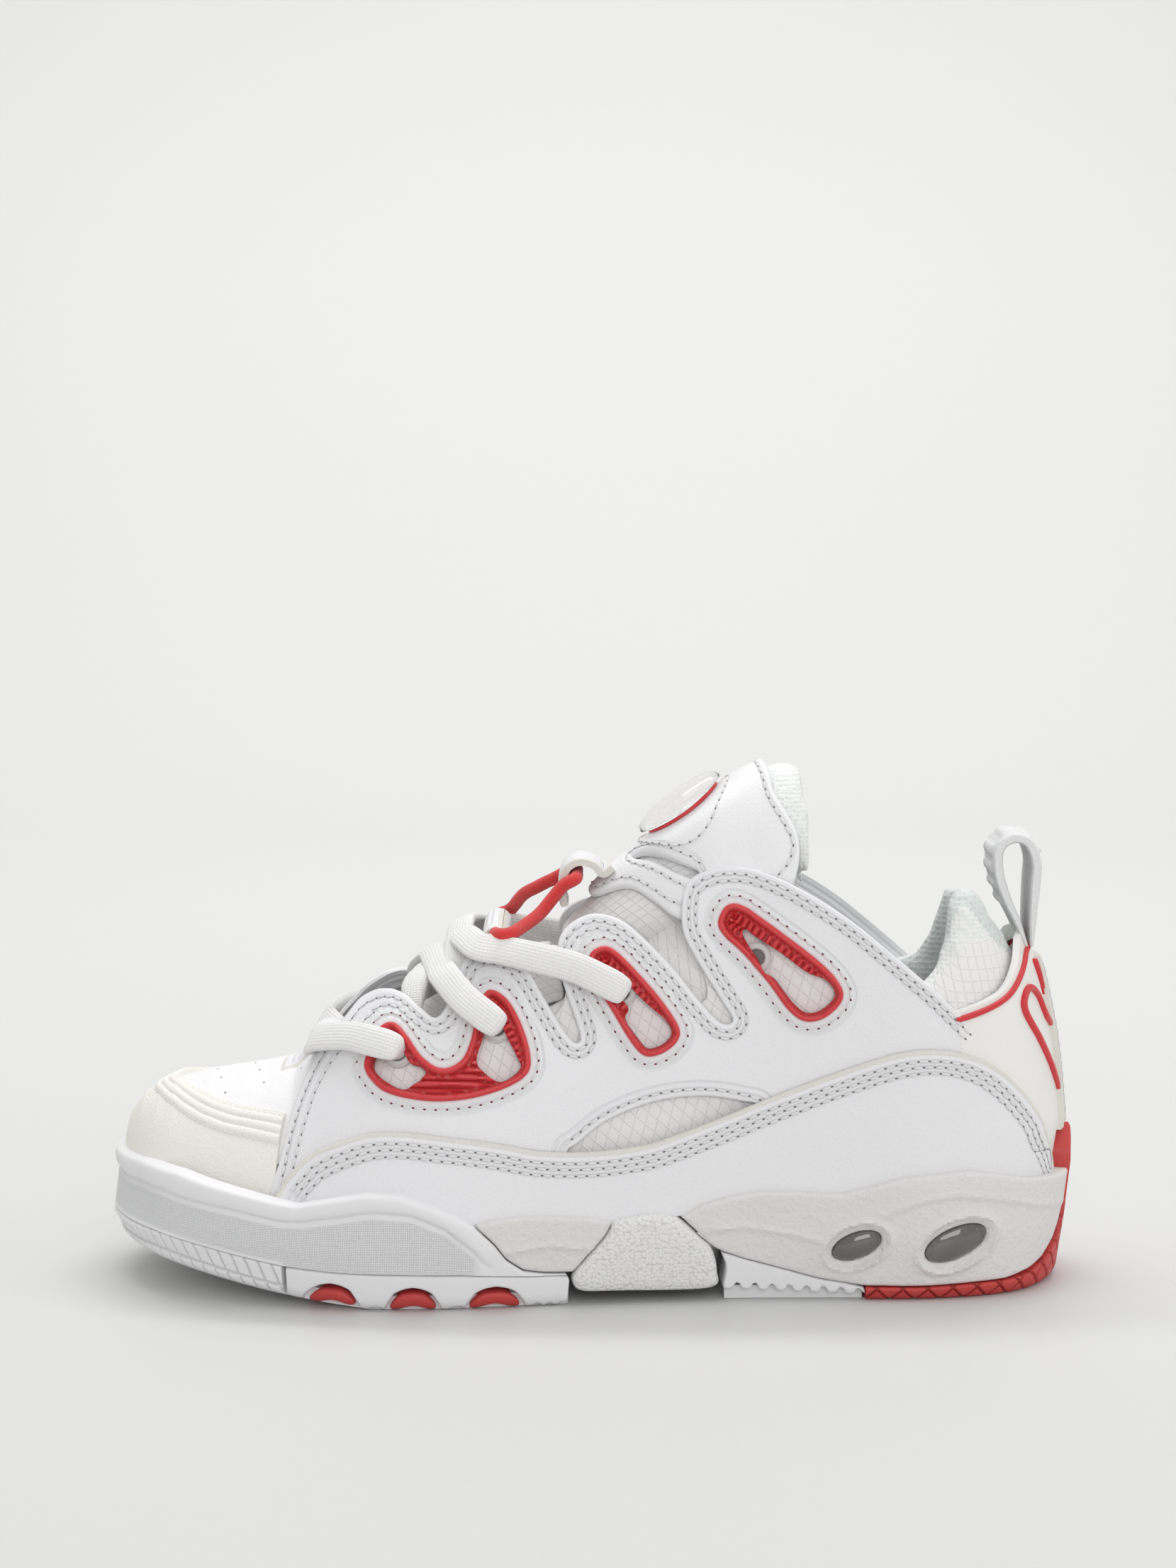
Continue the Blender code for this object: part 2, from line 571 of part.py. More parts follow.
def build_window(midsole, word, cx, cz, rx, rz, tilt):
    """A clear cushioning cell across the heel, with a window at each end."""
    boolean(midsole, prism(f"{word}_window_tunnel", ellipse(cx, cz, rx, rz, tilt), -80, 80))
    prism(f"gel_cell_{word}", ellipse(cx, cz, rx - GAP, rz - GAP, tilt), -24, 24, "clear")
    for side_word, sign in (("lateral", -1), ("medial", 1)):
        low, high = sorted((sign * 24.4, sign * 60))
        plug = prism(f"{word}_{side_word}_plug", ellipse(cx, cz, rx - GAP, rz - GAP, tilt), low, high)
        rings = [(1.4, flat_ring(2)), (1.8, flat_ring(30))]
        boolean(sole_blank(f"gel_window_{side_word}_{word}", rings, colour="smoke"), plug, "INTERSECT")


def build_footbed():
    board = GAP + BOARD_THICK
    sock = board + GAP
    sole_blank("insole_board", [(0.6, floor_ring(GAP)), (0.6, floor_ring(board))], colour="foam")
    sole_blank("sockliner", [(-8.0, floor_ring(sock)), (-8.0, floor_ring(sock + SOCK_THICK))], colour="mesh")


# ---------------------------------------------------------------- upper
def heel_stations(start, count, spread=1.0):
    """(station, side) pairs from the lateral side at a station, round the heel, to the medial side."""
    span = SKIN_HEEL - spread - start
    ahead = [start + span * math.sin(math.pi / 2 * k / count) for k in range(count + 1)]
    return [(x, -1) for x in ahead] + [(x, 1) for x in ahead[::-1]]


def heel_shell(name, start, low, top, layer, colour, rows=5, count=9):
    """A shell round the heel between two heights, each a function of the station."""
    inner, outer = LAYERS[layer]
    lines = []
    for i in range(rows):
        h = i / (rows - 1)
        lines.append([wall_point(x, low(x) + (top(x) - low(x)) * h, side, inner)
                      for x, side in heel_stations(start, count)])
    return sheet(name, lines, outer - inner, colour, (100, 0, 50))


def build_linings():
    inner, outer = LAYERS["lining"]
    xs = [-142.6, -140, -135, -129, -122, -115, -107, -98, -88.5]
    rows = [[arch_point(x, k / 18, inner) for k in range(19)] for x in xs]
    sheet("lining_toe", rows, outer - inner, "mesh", (-100, 5, 30))
    wall_panel("lining_lateral", LINING, -1, "lining", "mesh", 11.0)
    wall_panel("lining_medial", LINING, 1, "lining", "mesh", 11.0)
    heel_shell("lining_heel", 76, lambda x: level(FEATHER, x) + 0.5, lambda x: 74, "lining", "mesh")


def build_toe():
    inner, outer = LAYERS["vamp"]
    xs = [-131, -126, -120, -112, -104, -96, -88.5]
    rows = [[arch_point(x, 0.14 + 0.72 * k / 16, inner) for k in range(17)] for x in xs]
    sheet("vamp", rows, outer - inner, "white_leather", (-100, 5, 30))

    inner, outer = LAYERS["panel"]
    edge = [(-92.5, -32), (-98, -29.5), (-109, -23.5), (-116, -17), (-122, -9), (-126, -2), (-128.6, 6),
            (-126.5, 15), (-121.5, 22), (-115, 28), (-108, 32), (-98, 35.5), (-92.5, 37)]
    tip = int(SKIN_LOOP[:, 0].argmin())
    turned = np.roll(SKIN_LOOP, -tip, axis=0)
    lateral = [p for p in turned[:len(turned) // 2] if p[0] < -95.8]
    medial = [p for p in turned[len(turned) // 2:] if p[0] < -95.8]
    base = even(lateral[::-1] + medial[::-1], 8.0)
    target = spline(edge, len(base))
    rows = []
    for h in (0, 0.14, 0.28, 0.42, 0.56, 0.7, 0.85, 1.0):
        places = [b * 0.999 + (t - b * 0.999) * h ** 2 for b, t in zip(base, target)]
        rows.append([crown_point(x, y, inner) for x, y in places])
    sheet("toe_cap", rows, outer - inner, "warm_leather", (-100, 5, 30))


def build_sides():
    for word, side in (("lateral", -1), ("medial", 1)):
        quarter = wall_panel(f"quarter_{word}", QUARTER, side, "panel", "white_leather", 11.0)
        lining = bpy.data.objects[f"lining_{word}"]
        cages = {
            "front": wall_panel(f"cage_front_{word}", CAGE_FRONT, side, "cage", "red", 7.0),
            "middle": wall_panel(f"cage_middle_{word}", CAGE_MIDDLE, side, "cage", "red", 7.0),
            "rear": wall_panel(f"cage_rear_{word}", CAGE_REAR, side, "cage", "red", 7.0),
        }
        for number, (x, z) in EYELETS.items():
            cage = cages["front" if number in "12" else "middle" if number == "3" else "rear"]
            drill = eyelet_solid(f"eyelet_drill_{word}_{number}", x, z, side, -8, 10, EYELET_HOLE, None)
            for layer in (quarter, lining, cage):
                boolean(layer, drill)
            ring = f"eyelet_{word}_{number}"
            eyelet_solid(ring, x, z, side, -3.4, 6.6, EYELET_OUTER, EYELET_INNER, "grommet")
        build_mudguard(word, side)


def eyelet_solid(name, x, z, side, low, high, outer, inner, colour=None, count=12):
    """A grommet, or with no inner radius a drill, square to the wall at (x, z)."""
    centre = side_point(x, z, side)
    out = skin_normal(*centre)
    first = out.cross(Vector((0, 0, 1))).normalized()
    second = out.cross(first)
    rings = [(outer, low), (outer, high)]
    if inner:
        rings = [(inner, low), (outer, low), (outer, high), (inner, high)]
    points = []
    for radius, height in rings:
        for k in range(count):
            a = 2 * math.pi * k / count
            points.append(centre + out * height + (first * math.cos(a) + second * math.sin(a)) * radius)
    faces = grid_faces(len(rings), count, wrap=True)
    if inner:
        last = 3 * count
        faces += [(last + k, last + (k + 1) % count, (k + 1) % count, k) for k in range(count)]
    else:
        faces += [tuple(range(count)), tuple(range(2 * count - 1, count - 1, -1))]
    return add_mesh(name, points, faces, colour)


def build_mudguard(word, side):
    inner, outer = LAYERS["overlay"]
    stations = [x for x in np.arange(-91, 118, 8.5)] + [122, 127, 131.5, 135.5, 138.6]
    rows = []
    for h in (0, 0.4, 0.7, 1.0):
        low, top = level(FEATHER, stations) + 1, level(MUDGUARD_TOP, stations)
        heights = low + (top - low) * h
        rows.append([wall_point(x, z, side, inner) for x, z in zip(stations, heights)])
    points = [p for row in rows for p in row]
    faces = face_outwards(points, grid_faces(len(rows), len(stations)), Vector((0, -1000 * side, 0)))
    thicken(add_mesh(f"mudguard_{word}", points, faces, "white_leather", outward=False), outer - inner)


def build_heel():
    heel_shell("heel_counter", 113, lambda x: 46 if x < 128 else level(FEATHER, x) + 2,
               lambda x: level(COUNTER_TOP, x), "panel", "warm_leather", rows=6, count=8)
    heel_shell("heel_trim", 136.6, lambda x: 64, lambda x: 92, "overlay", "red", rows=5, count=5)
    build_collar()


def build_collar():
    """The padded roll round the back of the opening."""
    ring = []
    for x, side in heel_stations(77.5, 12, 0.8):
        top = level(COLLAR_TOP, x)
        if x > 131:
            top = min(top, 103)
        low = 76.5
        half = low + (top - low) * 0.5
        section = [(low, -2.2), (low, -8.5), (half, -11), (top - 5, -10.5), (top - 1.2, -8.2),
                   (top, -5.6), (top - 1.2, -2.6), (top - 5, -0.9), (half, -0.7)]
        ring.append([wall_point(x, z, side, offset) for z, offset in section])
    n = len(ring[0])
    points = [p for row in ring for p in row]
    faces = grid_faces(len(ring), n, wrap=True)
    faces += [tuple(range(n)), tuple(range(len(points) - 1, len(points) - n - 1, -1))]
    add_mesh("collar_pad", points, faces, "mesh")


def build_pull_loop():
    """A webbing loop standing up from the heel, a band bent to a teardrop."""
    outer = spline(PULL_LOOP, 27)
    band = np.interp(outer[:, 1], [104.3, 108, 112], [1.2, 1.8, 2.5])[:, None]
    ahead = np.gradient(outer, axis=0)
    out = np.stack([ahead[:, 1], -ahead[:, 0]], axis=1)
    out /= np.linalg.norm(out, axis=1)[:, None]
    inner = outer + out * band
    inner[0], inner[-1] = (136.3, 104.3), (136.9, 104.3)
    outline = [tuple(p) for p in outer] + [tuple(p) for p in inner[::-1]]
    loop = prism("pull_loop", outline, -11, 11, "white_leather")
    set_origin(loop, HINGE_PULL)


def set_origin(obj, place):
    """Moves an object's origin to a joint axis without moving its shape."""
    target = (Vector(place) + Vector((CENTRE_SHIFT[0], CENTRE_SHIFT[1], 0))) * MM
    for vertex in obj.data.vertices:
        vertex.co -= target
    obj.location = target


# ---------------------------------------------------------------- tongue
def tongue_point(along, across, offset=0.0):
    """A point of the tongue: along its centre line, across from -1 to 1, moved off its outer face."""
    table = np.array(TONGUE, float)
    k = min(max(along, 0.0), len(table) - 1.0)
    i = min(int(k), len(table) - 2)
    f = k - i
    x, z, half, droop = table[i] * (1 - f) + table[i + 1] * f
    before, after = table[max(i - 1, 0)], table[min(i + 2, len(table) - 1)]
    slope = (table[i + 1] - table[i]) * 0.6 + (after - before) * 0.2
    ahead = Vector((slope[0], 0, slope[1])).normalized()
    up = Vector((-ahead.z, 0, ahead.x))
    lean_out = 2.2 * droop / half * abs(across) ** 1.2
    out = (up + Vector((0, math.copysign(lean_out, across), 0))).normalized()
    centre = (skin_edge(x, -1) + skin_edge(x, 1)) / 2
    return Vector((x, centre + across * half, z)) - up * droop * abs(across) ** 2.2 + out * offset


def tongue_slab(name, first, last, low, high, colour, rows=8, columns=9, width=1.0, pinch=0.0, curl=0.0):
    """A closed piece of the tongue between two offsets from its outer face.

    It is thinner by pinch at its sides and by curl at its far end.
    """
    top, bottom = [], []
    for i in range(rows):
        along = first + (last - first) * i / (rows - 1)
        for j in range(columns):
            across = width * (2 * j / (columns - 1) - 1)
            top.append(tongue_point(along, across, high))
            edge = pinch * abs(2 * j / (columns - 1) - 1) ** 3 + curl * (i / (rows - 1)) ** 3
            bottom.append(tongue_point(along, across, low + edge))
    count = rows * columns
    faces = grid_faces(rows, columns)
    faces += [tuple(k + count for k in face[::-1]) for face in faces]
    rim = [j for j in range(columns)]
    rim += [i * columns + columns - 1 for i in range(1, rows)]
    rim += [(rows - 1) * columns + j for j in range(columns - 2, -1, -1)]
    rim += [i * columns for i in range(rows - 2, 0, -1)]
    faces += [(rim[k], rim[(k + 1) % len(rim)], rim[(k + 1) % len(rim)] + count, rim[k] + count)
              for k in range(len(rim))]
    return add_mesh(name, top + bottom, faces, colour)


def build_tongue():
    tongue_slab("tongue_base", 0, 4.9, -7.5, -0.5, "mesh", rows=8)
    moving = [
        tongue_slab("tongue_pad", 6.1, 14, -11, -0.5, "mesh", rows=10, width=0.95, pinch=4, curl=5),
        tongue_slab("tongue_overlay", 7.2, 10.2, 1.2, 2.6, "white_leather", rows=8, width=0.82),
        tongue_slab("tongue_badge", 8.4, 9.9, 3.0, 3.9, "red", rows=5, columns=7, width=0.62),
        tongue_slab("tongue_lens", 8.2, 10.1, 4.3, 8.3, "clear", rows=6, columns=7, width=0.7),
    ]
    moving.append(tongue_keeper())
    for piece in moving:
        set_origin(piece, HINGE_TONGUE)


def tongue_keeper():
    """The folded strap on the tongue that the elastic runs through."""
    arch = [(-8.4, 119.6), (-8.9, 124), (-8.2, 128.4), (-6, 131.3), (-2.4, 132.2), (1.4, 131.4), (3.4, 128.9),
            (1.6, 127.9), (-0.2, 129.3), (-2.6, 129.8), (-5, 129), (-6.5, 126.9), (-7, 124), (-6.6, 120.4)]
    return prism("tongue_keeper", arch, -13, 7, "white_leather")


def half_tube(cx, cz, outer, inner, start, end, count=9):
    outline = []
    for radius, order in ((outer, 1), (inner, -1)):
        for k in range(count)[::order]:
            a = math.radians(start + (end - start) * k / (count - 1))
            outline.append((cx + radius * math.cos(a), cz + radius * math.sin(a)))
    return outline


def build_keepers():
    tongue_top = level([(x, z) for x, z, _, _ in TONGUE], -78)
    prism("keeper_front", half_tube(-80.5, tongue_top + 5.5, 6.6, 4.9, -30, 215), -11, 11, "white_leather")
    outline = half_tube(-28.2, 110.6, 4.2, 2.8, 92, 448, 15)
    prism("keeper_middle", outline, -23.5, 17.5, "white_leather")


# ---------------------------------------------------------------- laces
def build_elastic():
    """A round elastic loop from the middle keeper up through the tongue's keeper."""
    half = [(-28.2, 0, 110.6), (-28.2, 20, 110.6), (-27, 24.3, 110.8), (-23.6, 24.6, 111.2),
            (-20, 21, 112.8), (-15, 16.5, 116), (-11, 14.3, 120.5), (-7.6, 13.2, 124.4),
            (-4.6, 12.4, 126), (-3.6, 10, 126.4), (-3.6, 0, 126.4)]
    route = half[:-1] + [(x, -y, z) for x, y, z in half[::-1]][:-1]
    path = [Vector(p) + Vector((0, -3, 0)) for p in spline(route, 48, closed=True)]
    ups = [Vector((-0.5, 0, 1)) for _ in path]
    loop_sweep("elastic_loop", path, ups, ELASTIC_THICK, ELASTIC_THICK, "red")


def lace_half(side, over):
    """The lace from the front keeper to its tail, crossing the tongue twice; side is where it starts."""
    def on_wall(x, z, sign, offset):
        return tuple(side_point(x, z, sign, offset))

    def through(number, sign):
        x, z = EYELETS[number]
        return [on_wall(x, z, sign, height) for height in (7.8, 3.8, -0.5, -4.6)]

    def across(x, y, z, sign):
        centre = (skin_edge(x, -1) + skin_edge(x, 1)) / 2
        return (x, centre + sign * y, z)

    near, far = side, -side
    route = [(-80.5, 6 * near, 74), (-80.4, 12.5 * near, 74.4), on_wall(-80.4, 73.5, near, 4.8)]
    route += [on_wall(-76, 75.5, near, 6.4), on_wall(-69, 76.5, near, 7.6), on_wall(-62, 76.2, near, 9.2)]
    route += through("1", near) + [on_wall(-55.8, 80, near, -5.4), on_wall(-54.6, 86, near, -4.8)]
    route += [across(-53, 16, 93.5, near), across(-50.5, 8, 96 + over, near)]
    route += [across(-48.5, 0, 97 + 2 * over, near)]
    route += [across(-47, 9, 98.5 + over, far), across(-45, 19, 99, far)]
    route += [on_wall(-42, 94.8, far, 7), on_wall(-37, 89.6, far, 8.2), on_wall(-32, 86, far, 9.2)]
    route += through("2", far) + [on_wall(-30, 86.5, far, -5.4), on_wall(-35, 92, far, -5.2)]
    route += [across(-39.5, 17, 99.5, far), across(-40, 9, 103.5 + over, far)]
    route += [across(-39.5, 0, 105.5 + 2 * over, far)]
    route += [across(-38.5, 9, 107 + over, near), across(-36.5, 18, 108, near), across(-33, 25, 107.2, near)]
    route += [on_wall(-25, 102.8, near, 6.2), on_wall(-15, 101.8, near, 7), on_wall(-4, 99.8, near, 7.6)]
    route += [on_wall(5, 96.3, near, 9.2)] + through("3", near)
    route += [on_wall(11.5, 90, near, -6), on_wall(14, 80, near, -6.6), on_wall(16, 70, near, -6.8)]
    return route


def build_shoelace():
    """One lace, from its tail inside the lateral side through both halves of the lacing."""
    route = lace_half(-1, 0.0)[::-1] + lace_half(1, 1.2)
    path = even(spline(route, 400), LACE_STEP)
    curve = bpy.data.curves.new("shoelace", "CURVE")
    curve.dimensions = "3D"
    curve.bevel_depth = LACE_RADIUS * MM
    curve.bevel_resolution = 2
    curve.use_fill_caps = True
    line = curve.splines.new("POLY")
    line.points.add(len(path) - 1)
    for point, place in zip(line.points, path):
        place = (place + np.array((CENTRE_SHIFT[0], CENTRE_SHIFT[1], 0))) * MM
        point.co = (*place, 1)
    curve.materials.append(material("shoelace", "lace"))
    PARTS.objects.link(bpy.data.objects.new("shoelace", curve))


build_sole()
build_linings()
build_toe()
build_sides()
build_heel()
build_pull_loop()
build_tongue()
build_keepers()
build_elastic()
build_shoelace()
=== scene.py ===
"""The looks of a left skate shoe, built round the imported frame.

Toe at -X, heel at +X, outer side at -Y. Tables are in millimetres; MM turns them into metres.
"""
import math

import bmesh
import bpy
import numpy as np
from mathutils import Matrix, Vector
from mathutils.geometry import delaunay_2d_cdt


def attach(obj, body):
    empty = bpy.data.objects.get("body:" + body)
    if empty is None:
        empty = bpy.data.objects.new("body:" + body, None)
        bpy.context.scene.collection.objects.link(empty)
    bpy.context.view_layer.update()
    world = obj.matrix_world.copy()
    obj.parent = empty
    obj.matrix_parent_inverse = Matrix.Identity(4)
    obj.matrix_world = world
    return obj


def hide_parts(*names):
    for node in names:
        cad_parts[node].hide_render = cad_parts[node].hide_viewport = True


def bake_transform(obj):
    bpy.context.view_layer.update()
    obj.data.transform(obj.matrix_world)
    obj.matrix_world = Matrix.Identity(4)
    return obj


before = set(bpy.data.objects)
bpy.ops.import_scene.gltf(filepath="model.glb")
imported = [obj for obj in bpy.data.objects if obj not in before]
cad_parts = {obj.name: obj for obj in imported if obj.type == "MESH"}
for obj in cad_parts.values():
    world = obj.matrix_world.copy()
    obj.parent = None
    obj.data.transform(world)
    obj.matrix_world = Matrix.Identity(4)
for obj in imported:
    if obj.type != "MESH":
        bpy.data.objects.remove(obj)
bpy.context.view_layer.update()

MM = 0.001
SHIFT = np.array((0.75, 0.35, 0.0))      # the frame's origin, seen from the last's own origin
SKIN_INSET = 4.0
WALL_POWER = 2.3
CROWN_POWER = 2.1
SHOE, TONGUE_BODY, PULL_BODY = "shoe", "tongue", "pull"

# ------------------------------------------------------------------ tables shared with the frame
PLAN = [
    (-148.5, 8), (-145, -8), (-135, -24), (-119, -36), (-97, -45.5), (-71, -50.5), (-44, -50.5),
    (-15, -46), (15, -41.5), (45, -38.5), (75, -38), (104, -37.5), (127, -31.5), (140.5, -19.5),
    (147, 0), (140.5, 19.5), (127, 31), (104, 36.5), (75, 36.5), (45, 34.5), (15, 35),
    (-15, 38.5), (-44, 44.5), (-71, 50), (-97, 50), (-119, 46), (-135, 38), (-145, 24.5),
]
FEATHER = [(-150, 28), (-120, 25), (-60, 21), (0, 22), (60, 28), (150, 31)]
CROWN = [
    (-145, 34), (-144.2, 42), (-142.5, 48.5), (-138.5, 53.5), (-133, 57), (-128, 59.3), (-118, 61.8),
    (-100, 64.8), (-90, 67), (-82, 75), (-75, 84), (-60, 96), (-45, 104), (-30, 111), (0, 128),
    (30, 147), (50, 163), (70, 195), (90, 222), (147, 236),
]
HEEL_LEAN = [(36, 0), (50, -2.2), (67, -0.6), (77, 0.8), (87, 2.8), (96, 4.9), (101, 6.2), (112, 10), (120, 15)]
GROUND = [(-152, 13), (-135, 10.5), (-120, 8), (-100, 4.8), (-80, 1.8), (-66, 0), (150, 0)]


# ------------------------------------------------------------------ curves
def level(table, x):
    t = np.array(table, float)
    return np.interp(x, t[:, 0], t[:, 1])


def spline(points, count, closed=False):
    """Catmull-Rom points at even steps of the parameter."""
    p = np.array(points, float)
    n = len(p)
    t = np.linspace(0, n if closed else n - 1, count, endpoint=not closed)
    i = np.minimum(t.astype(int), n - 1 if closed else n - 2)
    f = (t - i)[:, None]

    def at(k):
        return p[k % n] if closed else p[np.clip(k, 0, n - 1)]

    a, b, c, d = at(i - 1), at(i), at(i + 1), at(i + 2)
    return 0.5 * (2 * b + (c - a) * f + (2 * a - 5 * b + 4 * c - d) * f ** 2 + (3 * b - a - 3 * c + d) * f ** 3)


def even(points, spacing, closed=False):
    """The same line with points about this far apart."""
    p = np.array(points, float)
    if closed:
        p = np.vstack([p, p[:1]])
    along = np.concatenate([[0], np.cumsum(np.linalg.norm(np.diff(p, axis=0), axis=1))])
    count = max(int(round(along[-1] / spacing)), 3)
    s = np.linspace(0, along[-1], count + 1)
    if closed:
        s = s[:-1]
    return np.stack([np.interp(s, along, p[:, k]) for k in range(p.shape[1])], axis=1)


def smooth(points, spacing, closed=False):
    return even(spline(points, 12 * len(points), closed), spacing, closed)


def outward(loop):
    """Outward unit normals of a closed flat loop, whichever way it runs."""
    ahead = np.roll(loop, -1, axis=0) - np.roll(loop, 1, axis=0)
    ahead /= np.maximum(np.linalg.norm(ahead, axis=1)[:, None], 1e-9)
    area = np.sum(loop[:, 0] * np.roll(loop[:, 1], -1) - loop[:, 1] * np.roll(loop[:, 0], -1))
    out = np.stack([ahead[:, 1], -ahead[:, 0]], axis=1)
    return out if area > 0 else -out


def grown(loop, distance):
    return loop + outward(loop) * distance


def side_of(line, distance):
    """An open flat line moved to its left by a distance."""
    ahead = np.gradient(line, axis=0)
    ahead /= np.linalg.norm(ahead, axis=1)[:, None]
    return line + np.stack([-ahead[:, 1], ahead[:, 0]], axis=1) * distance


# ------------------------------------------------------------------ the lasted surface
PLAN_LOOP = spline(PLAN, 840, closed=True)
SKIN_LOOP = grown(PLAN_LOOP, -SKIN_INSET)


def halves(loop):
    """Lateral and medial edge of a plan loop as (x, y) tables sorted along x."""
    tip, tail = int(loop[:, 0].argmin()), int(loop[:, 0].argmax())
    turned = np.roll(loop, -tip, axis=0)
    cut = (tail - tip) % len(loop)
    return turned[:cut + 1], np.vstack([turned[cut:], turned[:1]])[::-1]


SKIN_LATERAL, SKIN_MEDIAL = halves(SKIN_LOOP)
SKIN_TOE, SKIN_HEEL = float(SKIN_LATERAL[0, 0]), float(SKIN_LATERAL[-1, 0])


def skin_edge(x, side):
    table = SKIN_LATERAL if side < 0 else SKIN_MEDIAL
    return np.interp(x, table[:, 0], table[:, 1])


def lean(x, z):
    return level(HEEL_LEAN, z) * np.clip((x - 60) / 80, 0, 1) ** 2


def base_x(x, z):
    """The plan station whose wall passes through (x, z)."""
    b = np.array(x, float)
    for _ in range(5):
        b = x + lean(b, z)
    return np.clip(b, SKIN_TOE + 0.05, SKIN_HEEL - 0.02)


def solid_value(x, y, z):
    """Zero on the lasted skin, positive outside."""
    b = base_x(x, z)
    lateral, medial = skin_edge(b, -1), skin_edge(b, 1)
    centre, half = (lateral + medial) / 2, (medial - lateral) / 2
    low, top = level(FEATHER, b), level(CROWN, b)
    up = np.maximum((z - low) / (top - low), 0.0)
    return (np.abs(y - centre) / half) ** WALL_POWER + up ** CROWN_POWER - 1


def skin_normal(p):
    h = 0.4
    x, y, z = p[:, 0], p[:, 1], p[:, 2]
    b = np.maximum(np.minimum(x, SKIN_HEEL - 1.2 - lean(SKIN_HEEL, z)), SKIN_TOE + 1.0)
    g = np.stack([
        solid_value(b + h, y, z) - solid_value(b - h, y, z),
        solid_value(b, y + h, z) - solid_value(b, y - h, z),
        solid_value(b, y, z + h) - solid_value(b, y, z - h),
    ], axis=1)
    return g / np.linalg.norm(g, axis=1)[:, None]


def lifted(x, y, z, offset):
    p = np.stack(np.broadcast_arrays(x, y, z), axis=1).astype(float)
    return p + skin_normal(p) * np.reshape(offset, (-1, 1))


def wall_point(bx, z, side, offset=0.0):
    """Points of the upper over plan stations bx, at heights z, moved out by an offset."""
    lateral, medial = skin_edge(bx, -1), skin_edge(bx, 1)
    centre = (lateral + medial) / 2
    edge = np.where(np.asarray(side) < 0, lateral, medial)
    low, top = level(FEATHER, bx), level(CROWN, bx)
    up = np.clip((z - low) / (top - low), 0.0, 0.995)
    y = centre + (edge - centre) * (1 - up ** CROWN_POWER) ** (1 / WALL_POWER)
    return lifted(bx - lean(bx, z), y, z, offset)


def side_point(x, z, side, offset=0.0):
    return wall_point(base_x(x, z), z, side, offset)


def crown_point(x, y, offset=0.0):
    """Points on top of the toe or vamp at plan positions (x, y)."""
    lateral, medial = skin_edge(x, -1), skin_edge(x, 1)
    centre, half = (lateral + medial) / 2, (medial - lateral) / 2
    across = np.minimum(np.abs(y - centre) / half, 0.9999)
    low, top = level(FEATHER, x), level(CROWN, x)
    z = low + (top - low) * (1 - across ** WALL_POWER) ** (1 / CROWN_POWER)
    return lifted(x, y, z, offset)


# ------------------------------------------------------------------ meshes
def add_mesh(name, points, faces, mat, uvs=None, marks=None, angle=35):
    """A mesh from points in mm. uvs are mm on the piece; marks are named values on its points."""
    mesh = bpy.data.meshes.new(name)
    mesh.from_pydata([tuple(p) for p in (np.asarray(points, float) + SHIFT) * MM], [], [tuple(f) for f in faces])
    if uvs is not None:
        layer = mesh.uv_layers.new(name="mm")
        corner = np.zeros(len(mesh.loops), np.int32)
        mesh.loops.foreach_get("vertex_index", corner)
        layer.data.foreach_set("uv", np.asarray(uvs, np.float32)[corner].ravel())
    for key, values in (marks or {}).items():
        layer = mesh.attributes.new(key, "FLOAT", "POINT")
        layer.data.foreach_set("value", np.asarray(values, np.float32))
    bm = bmesh.new()
    bm.from_mesh(mesh)
    bmesh.ops.recalc_face_normals(bm, faces=bm.faces)
    bm.to_mesh(mesh)
    bm.free()
    mesh.materials.append(mat)
    mesh.shade_smooth()
    mesh.set_sharp_from_angle(angle=math.radians(angle))
    piece = bpy.data.objects.new(name, mesh)
    bpy.context.scene.collection.objects.link(piece)
    return piece


def grid_faces(rows, columns, wrap=False):
    i, j = np.meshgrid(np.arange(rows - 1), np.arange(columns if wrap else columns - 1), indexing="ij")
    k = (j + 1) % columns
    f = np.stack([i * columns + j, i * columns + k, (i + 1) * columns + k, (i + 1) * columns + j], axis=-1)
    return f.reshape(-1, 4).tolist()


def border_of(faces):
    """The open edges of a sheet, in the order its faces run."""
    edges = set()
    for f in faces:
        for a, b in zip(f, list(f[1:]) + [f[0]]):
            edges.add((a, b))
    return [(a, b) for a, b in edges if (b, a) not in edges]


def closed_shell(name, top, bottom, faces, mat, uvs=None, marks=None, angle=35):
    """Two sheets with the same faces, joined round every open edge."""
    n = len(top)
    both = list(faces) + [[k + n for k in f[::-1]] for f in faces]
    both += [(b, a, a + n, b + n) for a, b in border_of(faces)]
    twice = None if uvs is None else np.vstack([uvs, uvs])
    doubled = {key: np.concatenate([v, v]) for key, v in (marks or {}).items()}
    return add_mesh(name, np.vstack([top, bottom]), both, mat, twice, doubled, angle)


def inside_outline(points, outline):
    x, y = points[:, 0], points[:, 1]
    odd = np.zeros(len(points), bool)
    for (x0, y0), (x1, y1) in zip(outline, np.roll(outline, -1, axis=0)):
        if y0 == y1:
            continue
        odd ^= ((y0 > y) != (y1 > y)) & (x < (x1 - x0) * (y - y0) / (y1 - y0) + x0)
    return odd


